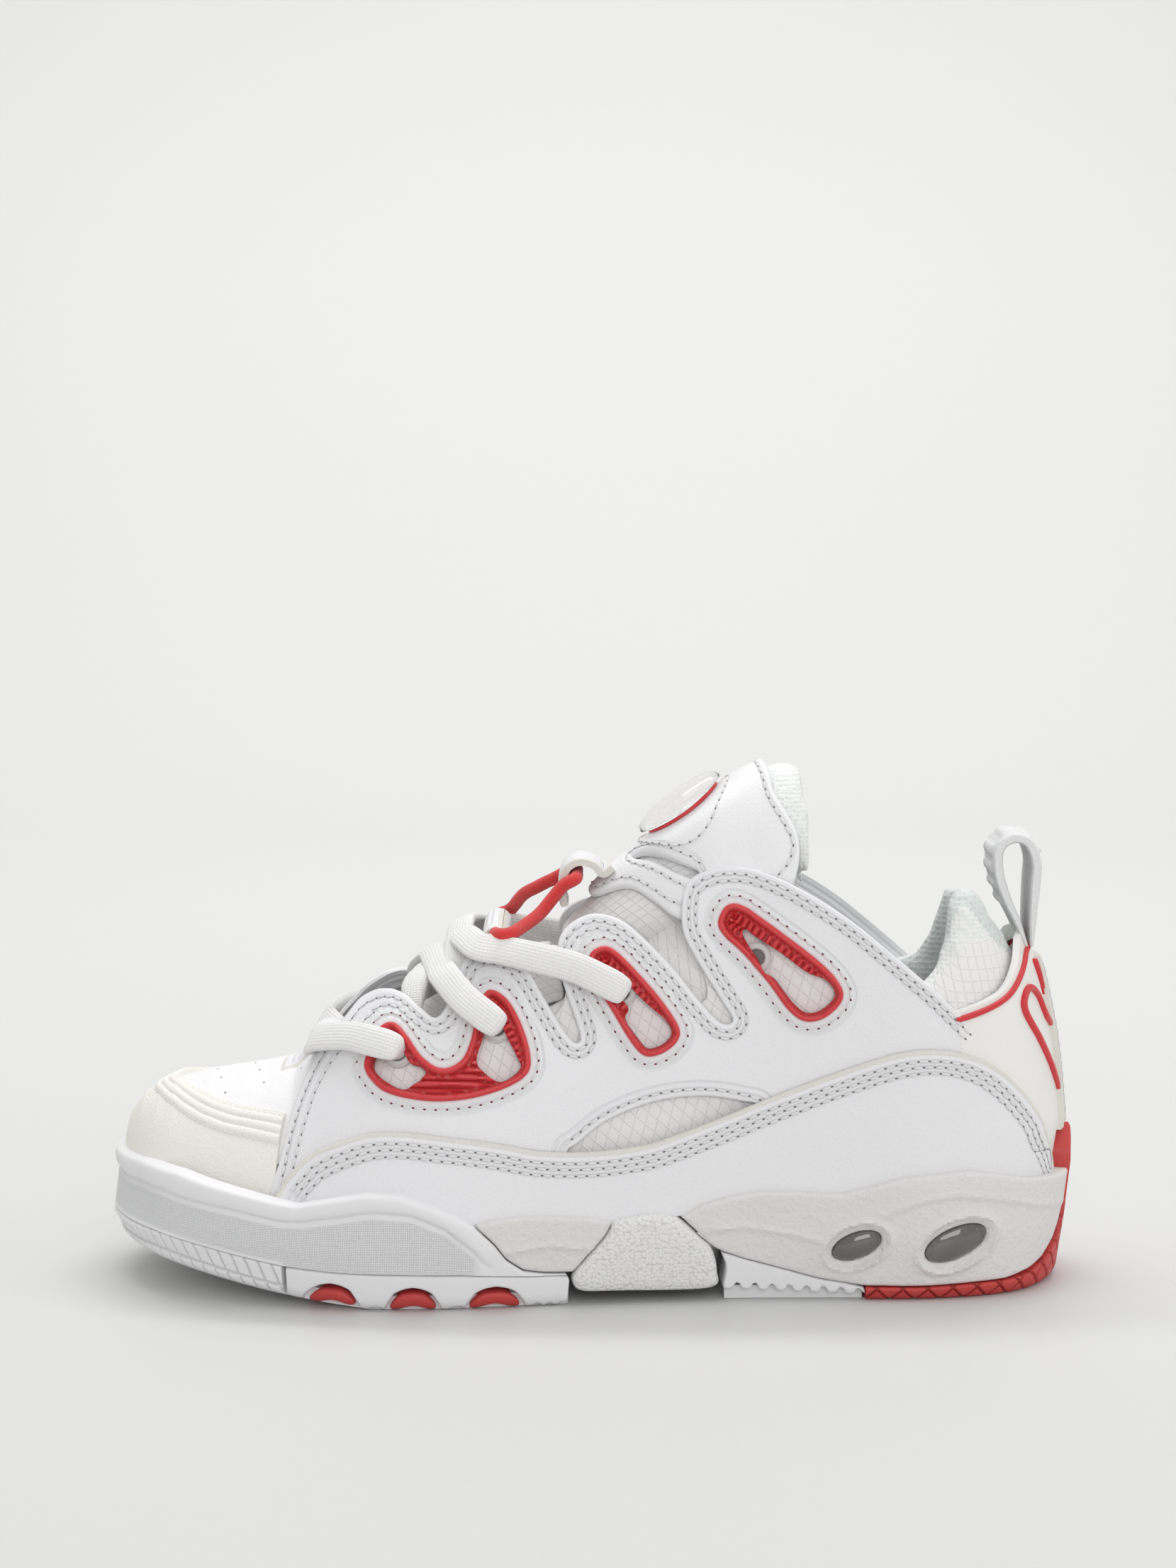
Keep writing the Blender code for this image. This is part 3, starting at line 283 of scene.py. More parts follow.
def nearest(points, line, closed=True):
    """Distance to a line, and how far along it the nearest place is."""
    a = line if closed else line[:-1]
    b = np.roll(line, -1, axis=0) if closed else line[1:]
    run = b - a
    length = np.linalg.norm(run, axis=1)
    start = np.concatenate([[0], np.cumsum(length)[:-1]])
    distance = np.zeros(len(points))
    place = np.zeros(len(points))
    for first in range(0, len(points), 4000):
        q = points[first:first + 4000]
        away = q[:, None, :] - a[None]
        t = np.clip((away * run).sum(-1) / np.maximum(length ** 2, 1e-12), 0, 1)
        gap = np.linalg.norm(away - t[..., None] * run, axis=-1)
        best = gap.argmin(axis=1)
        pick = np.arange(len(q))
        distance[first:first + 4000] = gap[pick, best]
        place[first:first + 4000] = start[best] + t[pick, best] * length[best]
    return distance, place


def flat_fill(outline, spacing, holes=(), edge_steps=(0.3, 0.9), edge_spacing=1.2):
    """Triangles that fill a flat outline less its holes, with extra rings along every edge."""
    loops = [(even(outline, edge_spacing, True), -1)] + [(even(h, edge_spacing, True), 1) for h in holes]
    points, edges = [], []
    for loop, away in loops:
        first = len(points)
        points += [tuple(p) for p in loop]
        edges += [(first + k, first + (k + 1) % len(loop)) for k in range(len(loop))]
    extra = [grown(loop, away * step) for loop, away in loops for step in edge_steps]
    low, high = outline.min(axis=0), outline.max(axis=0)
    rows = np.arange(low[1], high[1], spacing * 0.87)
    inner = [(u + (r % 2) * spacing / 2, v) for r, v in enumerate(rows) for u in np.arange(low[0], high[0], spacing)]
    inner = np.array(inner).reshape(-1, 2)
    keep = inside_outline(inner, outline)
    distance = nearest(inner[keep], loops[0][0])[0]
    inner = inner[keep][distance > edge_steps[-1] + spacing * 0.45]
    for hole, _ in loops[1:]:
        gap = nearest(inner, hole)[0]
        inner = inner[(gap > edge_steps[-1] + spacing * 0.45) & ~inside_outline(inner, hole)]
    kept = []
    for ring in extra:
        fine = inside_outline(ring, outline)
        for hole, _ in loops[1:]:
            fine &= ~inside_outline(ring, hole)
        near = np.min([nearest(ring, loop)[0] for loop, _ in loops], axis=0)
        kept.append(ring[fine & (near > edge_steps[0] * 0.8)])
    everything = points + [tuple(p) for p in np.vstack(kept)] + [tuple(p) for p in inner]
    flat, _, faces = delaunay_2d_cdt([Vector(p) for p in everything], edges, [], 1, 1e-4)[:3]
    flat = np.array([tuple(p) for p in flat])
    faces = np.array(faces)
    middle = flat[faces].mean(axis=1)
    good = inside_outline(middle, loops[0][0])
    for hole, _ in loops[1:]:
        good &= ~inside_outline(middle, hole)
    faces = faces[good]
    used, place = np.unique(faces, return_inverse=True)
    flat, faces = flat[used], place.reshape(faces.shape)
    edge = np.min([nearest(flat, loop)[0] for loop, _ in loops], axis=0)
    return flat, faces.tolist(), edge


def rounded(edge, high, radius):
    """Height of a layer whose cut edge is rounded over a radius."""
    t = np.clip((radius - edge) / radius, 0, 1)
    return high - radius * (1 - np.sqrt(1 - t ** 2 * 0.999))


def joined(name, blocks, mat, angle=60):
    """One mesh from many (points, faces) blocks."""
    points, faces, start = [], [], 0
    for block_points, block_faces in blocks:
        points.append(block_points)
        faces += [[k + start for k in f] for f in block_faces]
        start += len(block_points)
    return add_mesh(name, np.vstack(points), faces, mat, angle=angle)


def capsule(start, end, up, radius, flatness=0.75, sides=6):
    """A short round-ended thread between two points, with a flattened section."""
    ahead = end - start
    length = np.linalg.norm(ahead)
    ahead = ahead / length
    across = np.cross(ahead, up)
    across /= np.linalg.norm(across)
    lift = np.cross(across, ahead)
    rings = [(0.0, 0.25), (0.14, 0.8), (0.5, 1.0), (0.86, 0.8), (1.0, 0.25)]
    points = []
    for t, size in rings:
        for k in range(sides):
            a = 2 * math.pi * k / sides
            points.append(start + ahead * length * t + (across * math.cos(a) + lift * math.sin(a) * flatness) * radius * size)
    faces = grid_faces(len(rings), sides, wrap=True)
    faces += [list(range(sides)), list(range(len(points) - 1, len(points) - sides - 1, -1))]
    return np.array(points), faces


def stitch_blocks(path, normals, pitch=3.4, length=2.5, radius=0.42):
    """Stitches along a 3-D line, and blobs of painted shade sunk in the holes between them."""
    steps = np.linalg.norm(np.diff(path, axis=0), axis=1)
    along = np.concatenate([[0], np.cumsum(steps)])
    threads, holes = [], []

    def at(s, table):
        return np.array([np.interp(s, along, table[:, k]) for k in range(3)])

    for s in np.arange(pitch * 0.5, along[-1] - pitch * 0.5, pitch):
        up = at(s, normals)
        up /= np.linalg.norm(up)
        a, b = at(s - length / 2, path), at(s + length / 2, path)
        threads.append(capsule(a + up * 0.05, b + up * 0.05, up, radius))
        gap = (pitch - length) / 2
        hole = at(s + length / 2 + gap, path)
        ahead = (b - a) / np.linalg.norm(b - a)
        # painted shade: a flattened blob just under the surface stands for the shadow in the hole
        holes.append(capsule(hole - ahead * 0.42 - up * 0.12, hole + ahead * 0.42 - up * 0.12, up, 0.30, 0.5))
    return threads, holes


THREADS = {}


def sew_path(group, path, normals, **shape):
    threads, holes = stitch_blocks(path, normals, **shape)
    store = THREADS.setdefault(group, ([], []))
    store[0].extend(threads)
    store[1].extend(holes)


# ------------------------------------------------------------------ places on the upper and the sole, by run
def run_table(loop, outer):
    """A plan loop turned to start at the toe tip, closed, with the run along its outer line."""
    tip = int(outer[:, 0].argmin())
    base = np.roll(loop, -tip, axis=0)
    line = np.roll(outer, -tip, axis=0)
    base, line = np.vstack([base, base[:1]]), np.vstack([line, line[:1]])
    run = np.concatenate([[0], np.cumsum(np.linalg.norm(np.diff(line, axis=0), axis=1))])
    return base, line, run, int(line[:, 0].argmax())


SKIN_BASE, SKIN_LINE, SKIN_RUN, SKIN_TAIL = run_table(SKIN_LOOP, SKIN_LOOP)
SOLE_BASE, SOLE_LINE, SOLE_RUN, SOLE_TAIL = run_table(PLAN_LOOP, grown(PLAN_LOOP, 3.0))
SOLE_OUT = np.roll(outward(PLAN_LOOP), -int(grown(PLAN_LOOP, 3.0)[:, 0].argmin()), axis=0)
SOLE_OUT = np.vstack([SOLE_OUT, SOLE_OUT[:1]])


def run_at(x, side, line, run, tail):
    """Run from the toe tip at a lengthwise place: positive on the lateral side, negative on the medial."""
    if side < 0:
        return np.interp(x, line[:tail + 1, 0], run[:tail + 1])
    return np.interp(x, line[tail:, 0][::-1], run[tail:][::-1]) - run[-1]


def upper_run(x, z, side):
    return run_at(base_x(x, z), side, SKIN_LINE, SKIN_RUN, SKIN_TAIL)


def upper_point(s, z, offset=0.0):
    """Points of the upper at a run from the toe tip and a height."""
    t = np.mod(s, SKIN_RUN[-1])
    bx = np.interp(t, SKIN_RUN, SKIN_BASE[:, 0])
    edge = np.interp(t, SKIN_RUN, SKIN_BASE[:, 1])
    centre = (skin_edge(bx, -1) + skin_edge(bx, 1)) / 2
    low, top = level(FEATHER, bx), level(CROWN, bx)
    up = np.clip((z - low) / (top - low), 0.0, 0.995)
    y = centre + (edge - centre) * (1 - up ** CROWN_POWER) ** (1 / WALL_POWER)
    return lifted(bx - lean(bx, z), y, z, offset)


def sole_run(x, side):
    return run_at(x, side, SOLE_LINE, SOLE_RUN, SOLE_TAIL)


def sole_x(s):
    return np.interp(np.mod(s, SOLE_RUN[-1]), SOLE_RUN, SOLE_LINE[:, 0])


def sole_point(s, z, out=0.0):
    """Points of the sole's wall at a run from the toe tip and a height."""
    t = np.mod(s, SOLE_RUN[-1])
    base = np.stack([np.interp(t, SOLE_RUN, SOLE_BASE[:, k]) for k in (0, 1)], axis=1)
    normal = np.stack([np.interp(t, SOLE_RUN, SOLE_OUT[:, k]) for k in (0, 1)], axis=1)
    ground = level(GROUND, base[:, 0])
    foot = np.clip((z - ground) / 5, 0, 1)
    wall = np.where(z < ground + 5, -3.5 + 4 * np.sqrt(1 - (1 - foot) ** 2),
                    np.interp(z, [5, 19, 29, 36, 46], [0.5, 2.6, 3.6, 4.4, 4.4]))
    wall = np.where((z >= ground + 5) & (z < 19), 0.5 + 2.1 * (z - ground - 5) / np.maximum(14 - ground, 1), wall)
    toe = np.clip((-108 - base[:, 0]) / 30, 0, 1) ** 2
    wall = wall - 4.6 * toe * np.clip((z - 16) / 20, 0, 1)
    flat = base + normal * (wall + out)[:, None]
    return np.column_stack([flat, z])


def wrapped(loop_xz, side, run):
    """A side-view outline as (run, height)."""
    return np.column_stack([run(loop_xz[:, 0], loop_xz[:, 1], side), loop_xz[:, 1]])


def upper_panel(name, outline, side, low, high, mat, spacing=2.2, radius=0.6, holes=(), relief=None, fine=1.2,
                hidden=None):
    """A panel of the upper cut to a side-view outline, with a rounded edge, lasted onto one wall."""
    flat, faces, edge = flat_fill(wrapped(outline, side, upper_run), spacing,
                                  [wrapped(h, side, upper_run) for h in holes], edge_spacing=fine)
    height = rounded(edge, high, radius)
    if relief is not None:
        height = height + relief(flat, edge)
    top = upper_point(flat[:, 0], flat[:, 1], height)
    bottom = upper_point(flat[:, 0], flat[:, 1], np.full(len(flat), low))
    if hidden is not None:
        edge = np.where(hidden(station(flat[:, 0]), flat[:, 1]), 20.0, edge)
    return closed_shell(name, top, bottom, faces, mat, flat, {"edge": edge}, 50)


def sole_panel(name, outline, side, mat, low=-3.2, spacing=1.6, radius=0.9, holes=(), relief=None, out=0.0):
    """A piece of the sole's wall cut to a side-view outline."""
    def run(x, z, which):
        return sole_run(x, which)
    flat, faces, edge = flat_fill(wrapped(outline, side, run), spacing, [wrapped(h, side, run) for h in holes])
    height = rounded(edge, out, radius)
    if relief is not None:
        height = height + relief(sole_x(flat[:, 0]), flat[:, 1], edge)
    top = sole_point(flat[:, 0], flat[:, 1], height)
    bottom = sole_point(flat[:, 0], flat[:, 1], np.full(len(flat), low))
    return closed_shell(name, top, bottom, faces, mat, flat, {"edge": edge}, 50)


def sole_band(name, first, last, low, high, rows, step, mat, relief, inner=-3.0, lip=1.2, marks=None,
              mark_name="mark"):
    """A band of the sole's wall between two runs, with relief on its face and a rounded top."""
    columns = max(int(abs(last - first) / step), 8)
    s = np.linspace(first, last, columns)
    bottom, top = low(s), high(s)
    stack, sheet_uv, values = [], [], []
    for i in range(rows):
        t = i / (rows - 1)
        z = bottom + (top - bottom) * t
        out = relief(s, sole_x(s), z, t)
        fall = np.clip((z - (top - lip)) / lip, 0, 1)
        out = out - lip * (1 - np.sqrt(1 - fall ** 2 * 0.98))
        stack.append(sole_point(s, z, out))
        sheet_uv.append(np.column_stack([s, z]))
        values.append(marks(s, sole_x(s), z) if marks else np.zeros(columns))
    for t in (1.0, 0.5, 0.0):
        z = bottom + (top - bottom) * t
        stack.append(sole_point(s, z, np.full(columns, inner)))
        sheet_uv.append(np.column_stack([s, z]))
        values.append(np.zeros(columns))
    grid = np.stack(stack)
    points = grid.transpose(1, 0, 2).reshape(-1, 3)
    uv = np.stack(sheet_uv).transpose(1, 0, 2).reshape(-1, 2)
    mark = np.stack(values).T.ravel()
    count = len(stack)
    faces = grid_faces(columns, count, wrap=True)
    faces += [list(range(count)), list(range(len(points) - 1, len(points) - count - 1, -1))]
    return add_mesh(name, points, faces, mat, uv, {mark_name: mark}, 50)


# ------------------------------------------------------------------ materials
class Look:
    """A Principled material, with the few node helpers that the finishes share."""

    def __init__(self, name, colour, rough, **values):
        self.mat = bpy.data.materials.new(name)
        self.mat.use_nodes = True
        self.tree = self.mat.node_tree
        self.shader = self.tree.nodes["Principled BSDF"]
        self.shader.inputs["Base Color"].default_value = (*colour, 1)
        self.shader.inputs["Roughness"].default_value = rough
        self.colour = colour
        for key, value in values.items():
            self.shader.inputs[key.replace("_", " ")].default_value = value
        self.height = None
        self.mat.diffuse_color = (*colour, 1)

    def node(self, kind, inputs=None, **settings):
        made = self.tree.nodes.new(kind)
        for key, value in settings.items():
            setattr(made, key, value)
        for key, value in (inputs or {}).items():
            if isinstance(value, bpy.types.NodeSocket):
                self.tree.links.new(value, made.inputs[key])
            else:
                made.inputs[key].default_value = value
        return made

    def math(self, kind, a, b=0.0, c=0.0, clamp=False):
        return self.node("ShaderNodeMath", {0: a, 1: b, 2: c}, operation=kind, use_clamp=clamp).outputs[0]

    def place(self, scale=1000.0, turn=(0, 0, 0)):
        """Object coordinates in mm, or scaled further."""
        source = self.node("ShaderNodeTexCoord").outputs["Object"]
        made = self.node("ShaderNodeMapping", {"Vector": source, "Scale": (scale,) * 3, "Rotation": turn})
        return made.outputs[0]

    def sheet(self, turn=0.0, scale=(1.0, 1.0)):
        """The piece's own flat coordinates in mm, as (u, v) sockets."""
        source = self.node("ShaderNodeUVMap", uv_map="mm").outputs[0]
        turned = self.node("ShaderNodeMapping", {"Vector": source, "Rotation": (0, 0, turn), "Scale": (*scale, 1)})
        split = self.node("ShaderNodeSeparateXYZ", {0: turned.outputs[0]})
        return split.outputs[0], split.outputs[1]

    def mark(self, name):
        return self.node("ShaderNodeAttribute", attribute_name=name).outputs["Fac"]

    def noise(self, vector, scale, detail=3.0, rough=0.5):
        made = self.node("ShaderNodeTexNoise", {"Vector": vector, "Scale": scale, "Detail": detail, "Roughness": rough})
        return made.outputs["Fac"]

    def cells(self, vector, scale, feature="F1", random_place=1.0):
        made = self.node("ShaderNodeTexVoronoi", {"Vector": vector, "Scale": scale, "Randomness": random_place},
                         feature=feature)
        return made.outputs["Distance"]

    def line(self, value, period, width):
        """1 on stripes of a width, once every period."""
        ramp = self.math("PINGPONG", value, period / 2)
        return self.math("SUBTRACT", 1.0, self.math("SMOOTH_MIN", self.math("DIVIDE", ramp, width / 2), 1.0, 0.3), clamp=True)

    def bump(self, height, distance, strength=1.0):
        """Adds a bump of a depth in mm."""
        made = self.node("ShaderNodeBump", {"Height": height, "Strength": strength, "Distance": distance * MM})
        if self.height is not None:
            self.tree.links.new(self.height, made.inputs["Normal"])
        self.height = made.outputs[0]
        self.tree.links.new(self.height, self.shader.inputs["Normal"])

    def tint(self, factor, colour):
        """Mixes the colour so far towards another one."""
        base = self.shader.inputs["Base Color"]
        made = self.node("ShaderNodeMix", data_type="RGBA")
        self.tree.links.new(factor, made.inputs[0])
        if base.is_linked:
            self.tree.links.new(base.links[0].from_socket, made.inputs[6])
        else:
            made.inputs[6].default_value = (*self.colour, 1)
        made.inputs[7].default_value = (*colour, 1)
        self.tree.links.new(made.outputs[2], base)

    def roughen(self, factor, low, high):
        made = self.node("ShaderNodeMapRange", {"Value": factor, "To Min": low, "To Max": high})
        self.tree.links.new(made.outputs[0], self.shader.inputs["Roughness"])


def leather(name, colour, grain=1.0, depth=0.10, raw=None, grooves=()):
    """Coated leather: fine cell grain, faint mottling, soft grooves under seams and a raw cut edge."""
    look = Look(name, colour, 0.46, Specular_IOR_Level=0.42)
    place = look.place()
    grain_cells = look.cells(place, 1.15 / grain)
    fine = look.noise(place, 2.6 / grain, 4)
    look.bump(look.math("ADD", look.math("MULTIPLY", grain_cells, 0.8), look.math("MULTIPLY", fine, 0.7)), depth)
    mottle = look.noise(place, 0.05, 4, 0.6)
    look.tint(look.math("MULTIPLY", mottle, 0.10), tuple(c * 0.9 for c in colour))
    look.roughen(look.noise(place, 0.2, 4), 0.38, 0.56)
    edge = look.mark("edge")
    for far in grooves:
        dip = look.math("SUBTRACT", 1.0, look.math("DIVIDE", look.math("ABSOLUTE", look.math("SUBTRACT", edge, far)), 0.8),
                        clamp=True)
        look.bump(look.math("MULTIPLY", dip, -1.0), 0.35)
    if raw:
        cut = look.math("LESS_THAN", edge, raw[0])
        wavy = look.math("ADD", edge, look.math("MULTIPLY", look.noise(place, 1.5, 2), 0.5))
        cut = look.math("LESS_THAN", wavy, raw[0] + 0.25)
        look.tint(cut, raw[1])
        look.bump(look.math("MULTIPLY", cut, look.noise(place, 4.0, 3)), 0.25)
    return look.mat


def ripstop(name, colour=(0.85, 0.84, 0.83), turn=0.7, cell=3.4):
    """Thin ripstop: a fine plain weave with heavier threads on a skewed grid, a painted highlight on the heavy threads
    and painted shade in the gaps of the fine weave.
    """
    look = Look(name, colour, 0.55, Sheen_Weight=0.15)
    u, v = look.sheet(turn, (1.0, 1.0))
    w, q = look.sheet(turn + 1.15, (1.0, 1.0))
    fine = look.math("MULTIPLY", look.line(u, 0.42, 0.4), look.line(w, 0.42, 0.4))
    heavy = look.math("MAXIMUM", look.line(v, cell, 0.5), look.line(q, cell, 0.5))
    look.bump(fine, 0.07)
    look.bump(heavy, 0.16)
    # painted highlight on the raised heavy threads, then painted shade in the gaps between the fine threads
    look.tint(look.math("MULTIPLY", heavy, 0.6), (0.94, 0.93, 0.92))
    look.tint(look.math("MULTIPLY", look.math("SUBTRACT", 1.0, fine, clamp=True), 0.10), (0.62, 0.58, 0.57))
    wrinkle = look.noise(look.place(), 0.12, 3)
    look.bump(wrinkle, 0.45)
    return look.mat


def spacer_mesh(name, colour, cell=1.5, hole=(0.42, 0.46, 0.45), cell_shade_amount=0.5):
    """Knitted spacer mesh: rows of small open cells, with painted shade in the middle of each cell."""
    look = Look(name, colour, 0.85, Sheen_Weight=0.25)
    place = look.place()
    cells = look.cells(place, 1 / cell, random_place=0.35)
    # painted shade: the middle of each open cell is tinted towards the hole colour
    painted_shade = look.math("SUBTRACT", 1.0, look.math("MULTIPLY", cells, 2.4), clamp=True)
    look.bump(cells, 0.45)
    look.bump(look.noise(place, 3.0, 2), 0.1)
    look.tint(look.math("MULTIPLY", painted_shade, cell_shade_amount), hole)
    return look.mat


def white_rubber(name, colour=(0.80, 0.80, 0.81), dotted=False):
    look = Look(name, colour, 0.5, Specular_IOR_Level=0.4)
    place = look.place()
    look.bump(look.noise(place, 0.9, 4), 0.05)
    look.tint(look.math("MULTIPLY", look.noise(place, 0.04, 4, 0.6), 0.12), tuple(c * 0.88 for c in colour))
    # painted shade: deeper grey down in the moulded grooves the groove mark covers
    look.tint(look.math("MULTIPLY", look.mark("groove"), 0.4), tuple(c * 0.55 for c in colour))
    if dotted:
        u, v = look.sheet(0.78)
        pips = look.math("MULTIPLY", look.math("SINE", look.math("MULTIPLY", u, 8.2)),
                         look.math("SINE", look.math("MULTIPLY", v, 8.2)))
        pips = look.math("MULTIPLY", look.math("MAXIMUM", pips, 0.0), look.mark("mark"))
        look.bump(pips, 0.22)
        look.tint(look.math("MULTIPLY", pips, 0.14), (0.45, 0.45, 0.47))
    return look.mat


def foam_skin(name, colour=(0.78, 0.76, 0.745)):
    """Moulded foam with a wrinkled leathery skin."""
    look = Look(name, colour, 0.55, Specular_IOR_Level=0.35)
    place = look.place()
    creases = look.noise(place, 0.55, 6, 0.62)
    pores = look.cells(place, 0.75)
    look.bump(creases, 0.7)
    look.bump(pores, 0.14)
    look.tint(look.math("MULTIPLY", look.noise(place, 0.05, 5, 0.65), 0.22), tuple(c * 0.86 for c in colour))
    return look.mat


def pebbled(name, colour=(0.80, 0.795, 0.79)):
    """Basketball-like pebble grain on the wrap of the shank, with painted shade in the valleys between pebbles."""
    look = Look(name, colour, 0.42, Specular_IOR_Level=0.45)
    place = look.place()
    pebble = look.cells(place, 0.95, random_place=0.8)
    dome = look.math("SUBTRACT", 1.0, look.math("MULTIPLY", pebble, pebble), clamp=True)
    look.bump(dome, 0.42)
    # painted shade: the valleys between the pebbles are tinted grey
    valley = look.math("GREATER_THAN", pebble, 0.62)
    look.tint(look.math("MULTIPLY", valley, 0.25), (0.55, 0.54, 0.54))
    return look.mat


def moulded_red(name, colour=(0.63, 0.032, 0.038), rough=0.34, grit=0.05):
    """Moulded red urethane, with painted shade down in its grooves."""
    look = Look(name, colour, rough, Specular_IOR_Level=0.45, Coat_Weight=0.10)
    place = look.place()
    # painted shade: deeper red down in the grooves
    look.tint(look.math("MULTIPLY", look.mark("groove"), 0.62), tuple(c * 0.30 for c in colour))
    look.bump(look.noise(place, 2.0, 3), grit)
    look.tint(look.math("MULTIPLY", look.noise(place, 0.15, 4), 0.25), tuple(c * 0.75 for c in colour))
    look.roughen(look.noise(place, 0.4, 3), rough - 0.06, rough + 0.12)
    return look.mat


def braid(name, colour, pitch=1.1, depth=0.35, painted_shade=0.2):
    """Round or flat braid: slanted strands that cross, along the piece's own coordinates, with painted shade where the
    strands dip.
    """
    look = Look(name, colour, 0.8, Sheen_Weight=0.3)
    u, v = look.sheet(0.0)
    one = look.math("SINE", look.math("MULTIPLY", look.math("ADD", look.math("MULTIPLY", u, 1.3), v), 6.283 / pitch))
    two = look.math("SINE", look.math("MULTIPLY", look.math("SUBTRACT", look.math("MULTIPLY", u, 1.3), v), 6.283 / pitch))
    weave = look.math("MULTIPLY_ADD", look.math("MULTIPLY", one, two), 0.5, 0.5)
    look.bump(weave, depth)
    look.bump(look.noise(look.place(), 5.0, 2), 0.1)
    # painted shade: deeper colour where the strands dip between crossings
    look.tint(look.math("MULTIPLY", look.math("SUBTRACT", 1.0, weave), painted_shade), tuple(c * 0.5 for c in colour))
    return look.mat


def thread(name, colour, rough=0.7):
    look = Look(name, colour, rough)
    look.bump(look.noise(look.place(), 6.0, 2), 0.1)
    return look.mat


def smoked(name):
    look = Look(name, (0.06, 0.058, 0.056), 0.05, Coat_Weight=1.0, Coat_Roughness=0.03, IOR=1.5)
    place = look.place()
    look.tint(look.math("MULTIPLY", look.noise(place, 0.12, 3), 0.6), (0.24, 0.235, 0.23))
    look.bump(look.noise(place, 0.3, 2), 0.05)
    return look.mat


def clear(name):
    look = Look(name, (0.97, 0.97, 0.97), 0.04, Transmission_Weight=1.0, IOR=1.15, Coat_Weight=0.7)
    look.bump(look.noise(look.place(), 0.25, 2), 0.05)
    return look.mat


WHITE = (0.80, 0.80, 0.815)
CREAM = (0.78, 0.76, 0.70)
M = {
    "quarter": leather("quarter_leather", WHITE, 1.0, 0.09, grooves=(2.2, 4.2)),
    "mudguard": leather("mudguard_leather", WHITE, 1.0, 0.09, raw=(1.3, CREAM), grooves=(3.3, 5.1, 7.0)),
    "vamp": leather("vamp_leather", (0.84, 0.84, 0.845), 1.0, 0.08),
    "cap": leather("cap_leather", (0.85, 0.835, 0.775), 1.15, 0.16),
    "counter": leather("counter_leather", (0.83, 0.82, 0.79), 0.7, 0.04),
    "overlay": leather("overlay_leather", (0.83, 0.83, 0.84), 1.0, 0.09, grooves=(2.0,)),
    "ripstop": ripstop("ripstop_cloth"),
    "ripstop_fine": ripstop("tongue_ripstop", (0.87, 0.865, 0.86), 0.2, 3.0),
    # the spacer meshes' hole colour is the painted shade in their open cells
    "mesh": spacer_mesh("lining_mesh", (0.66, 0.70, 0.685), 1.7),
    "footbed": spacer_mesh("footbed_mesh", (0.60, 0.62, 0.615), 1.2),
    "light_mesh": spacer_mesh("collar_mesh", (0.83, 0.84, 0.83), 1.3, (0.50, 0.53, 0.52), 0.35),
    "rubber": white_rubber("sole_rubber"),
    "dotted": white_rubber("dotted_rubber", (0.79, 0.79, 0.80), True),
    "foam": foam_skin("midsole_skin"),
    "pebble": pebbled("shank_pebble"),
    "red": moulded_red("cage_red"),
    "red_rubber": moulded_red("tread_red", (0.55, 0.050, 0.045), 0.52, 0.18),
    "elastic": braid("elastic_braid", (0.78, 0.030, 0.028), 0.9, 0.18, 0.22),
    "lace": braid("lace_braid", (0.90, 0.895, 0.875), 2.1, 0.22, 0.26),
    "webbing": braid("loop_webbing", (0.83, 0.83, 0.835), 1.0, 0.16, 0.10),
    "thread": thread("white_thread", (0.76, 0.76, 0.76)),
    # painted shade: near-black finishes for blobs that stand in for the shadow inside holes
    "hole_shade": thread("painted_hole_shade", (0.20, 0.19, 0.19), 0.9),
    "red_hole_shade": thread("painted_red_hole_shade", (0.16, 0.03, 0.04), 0.9),
    "ring": thread("grommet_ring", (0.62, 0.61, 0.60), 0.35),
    "smoke": smoked("smoked_window"),
    "clear": clear("clear_lens"),
    "gel": clear("gel_core"),
}


def shown(piece, body, slot, *nodes):
    """Puts a piece on its body and hides the frame's nodes it stands for; slot is not used."""
    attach(piece, body)
    if nodes:
        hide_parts(*nodes)
    return piece


# ------------------------------------------------------------------ sole
BUMPER_TOP = [(-160, 21), (-150.6, 20.6), (-134.7, 19.7), (-118.6, 17.4), (-101, 14.6), (-92.2, 13.3)]
TREAD_TOP = [(-91.6, 13.2), (-86, 12.7), (-75, 11.9), (-37.7, 11.1), (-28.3, 10.4), (-18, 9.9), (-5, 9.6)]
BEAD_TOP = [
    (-160, 39.5), (-148, 39.6), (-138, 40.3), (-124.5, 39.8), (-114, 37.8), (-104, 35.9), (-94, 34),
    (-87, 33.1), (-75, 35.5), (-66, 37.1), (-56, 36.7), (-47, 33.4), (-38, 29.2), (-34, 26.4),
    (-28, 20.4), (-24, 15.1), (-19, 11.6), (-13, 10.6), (-5.4, 10.2),
]
BEAD_GROOVE = [
    (-160, 34.2), (-150, 34), (-145, 33.1), (-138, 33.6), (-130, 33), (-123, 31.8), (-106.7, 30), (-92, 27.6),
    (-86, 27.6), (-75, 29.5), (-64.3, 31.3), (-52.6, 30.2), (-42.7, 25.9), (-34.2, 18.7), (-31, 15), (-24, 10),
]
FOAM_TOP_FRONT = [(-33.4, 26.8), (-28.3, 28.1), (-18.9, 28.7), (-9.5, 28.4), (0, 27.7), (7.3, 26.2)]
FOAM_TOP_REAR = [
    (28.4, 27), (34.3, 30.5), (43, 33), (52, 34.5), (62, 34.5), (76, 33.6), (86, 36),
    (95, 38.6), (105, 39.5), (115, 40.4), (125, 38.8), (135, 36.3), (146, 34.6), (149.6, 34.2),
]
SHANK = [
    (7.9, 26.1), (11.7, 27.2), (20.8, 28.2), (27.8, 26.4), (34.2, 20.5), (37.6, 17), (39.4, 9.6),
    (36.9, 4.1), (8, 4.1), (-1.5, 4.6), (-4.0, 7.2), (-3.8, 10.3), (-0.7, 14.3), (5.9, 22.3),
]
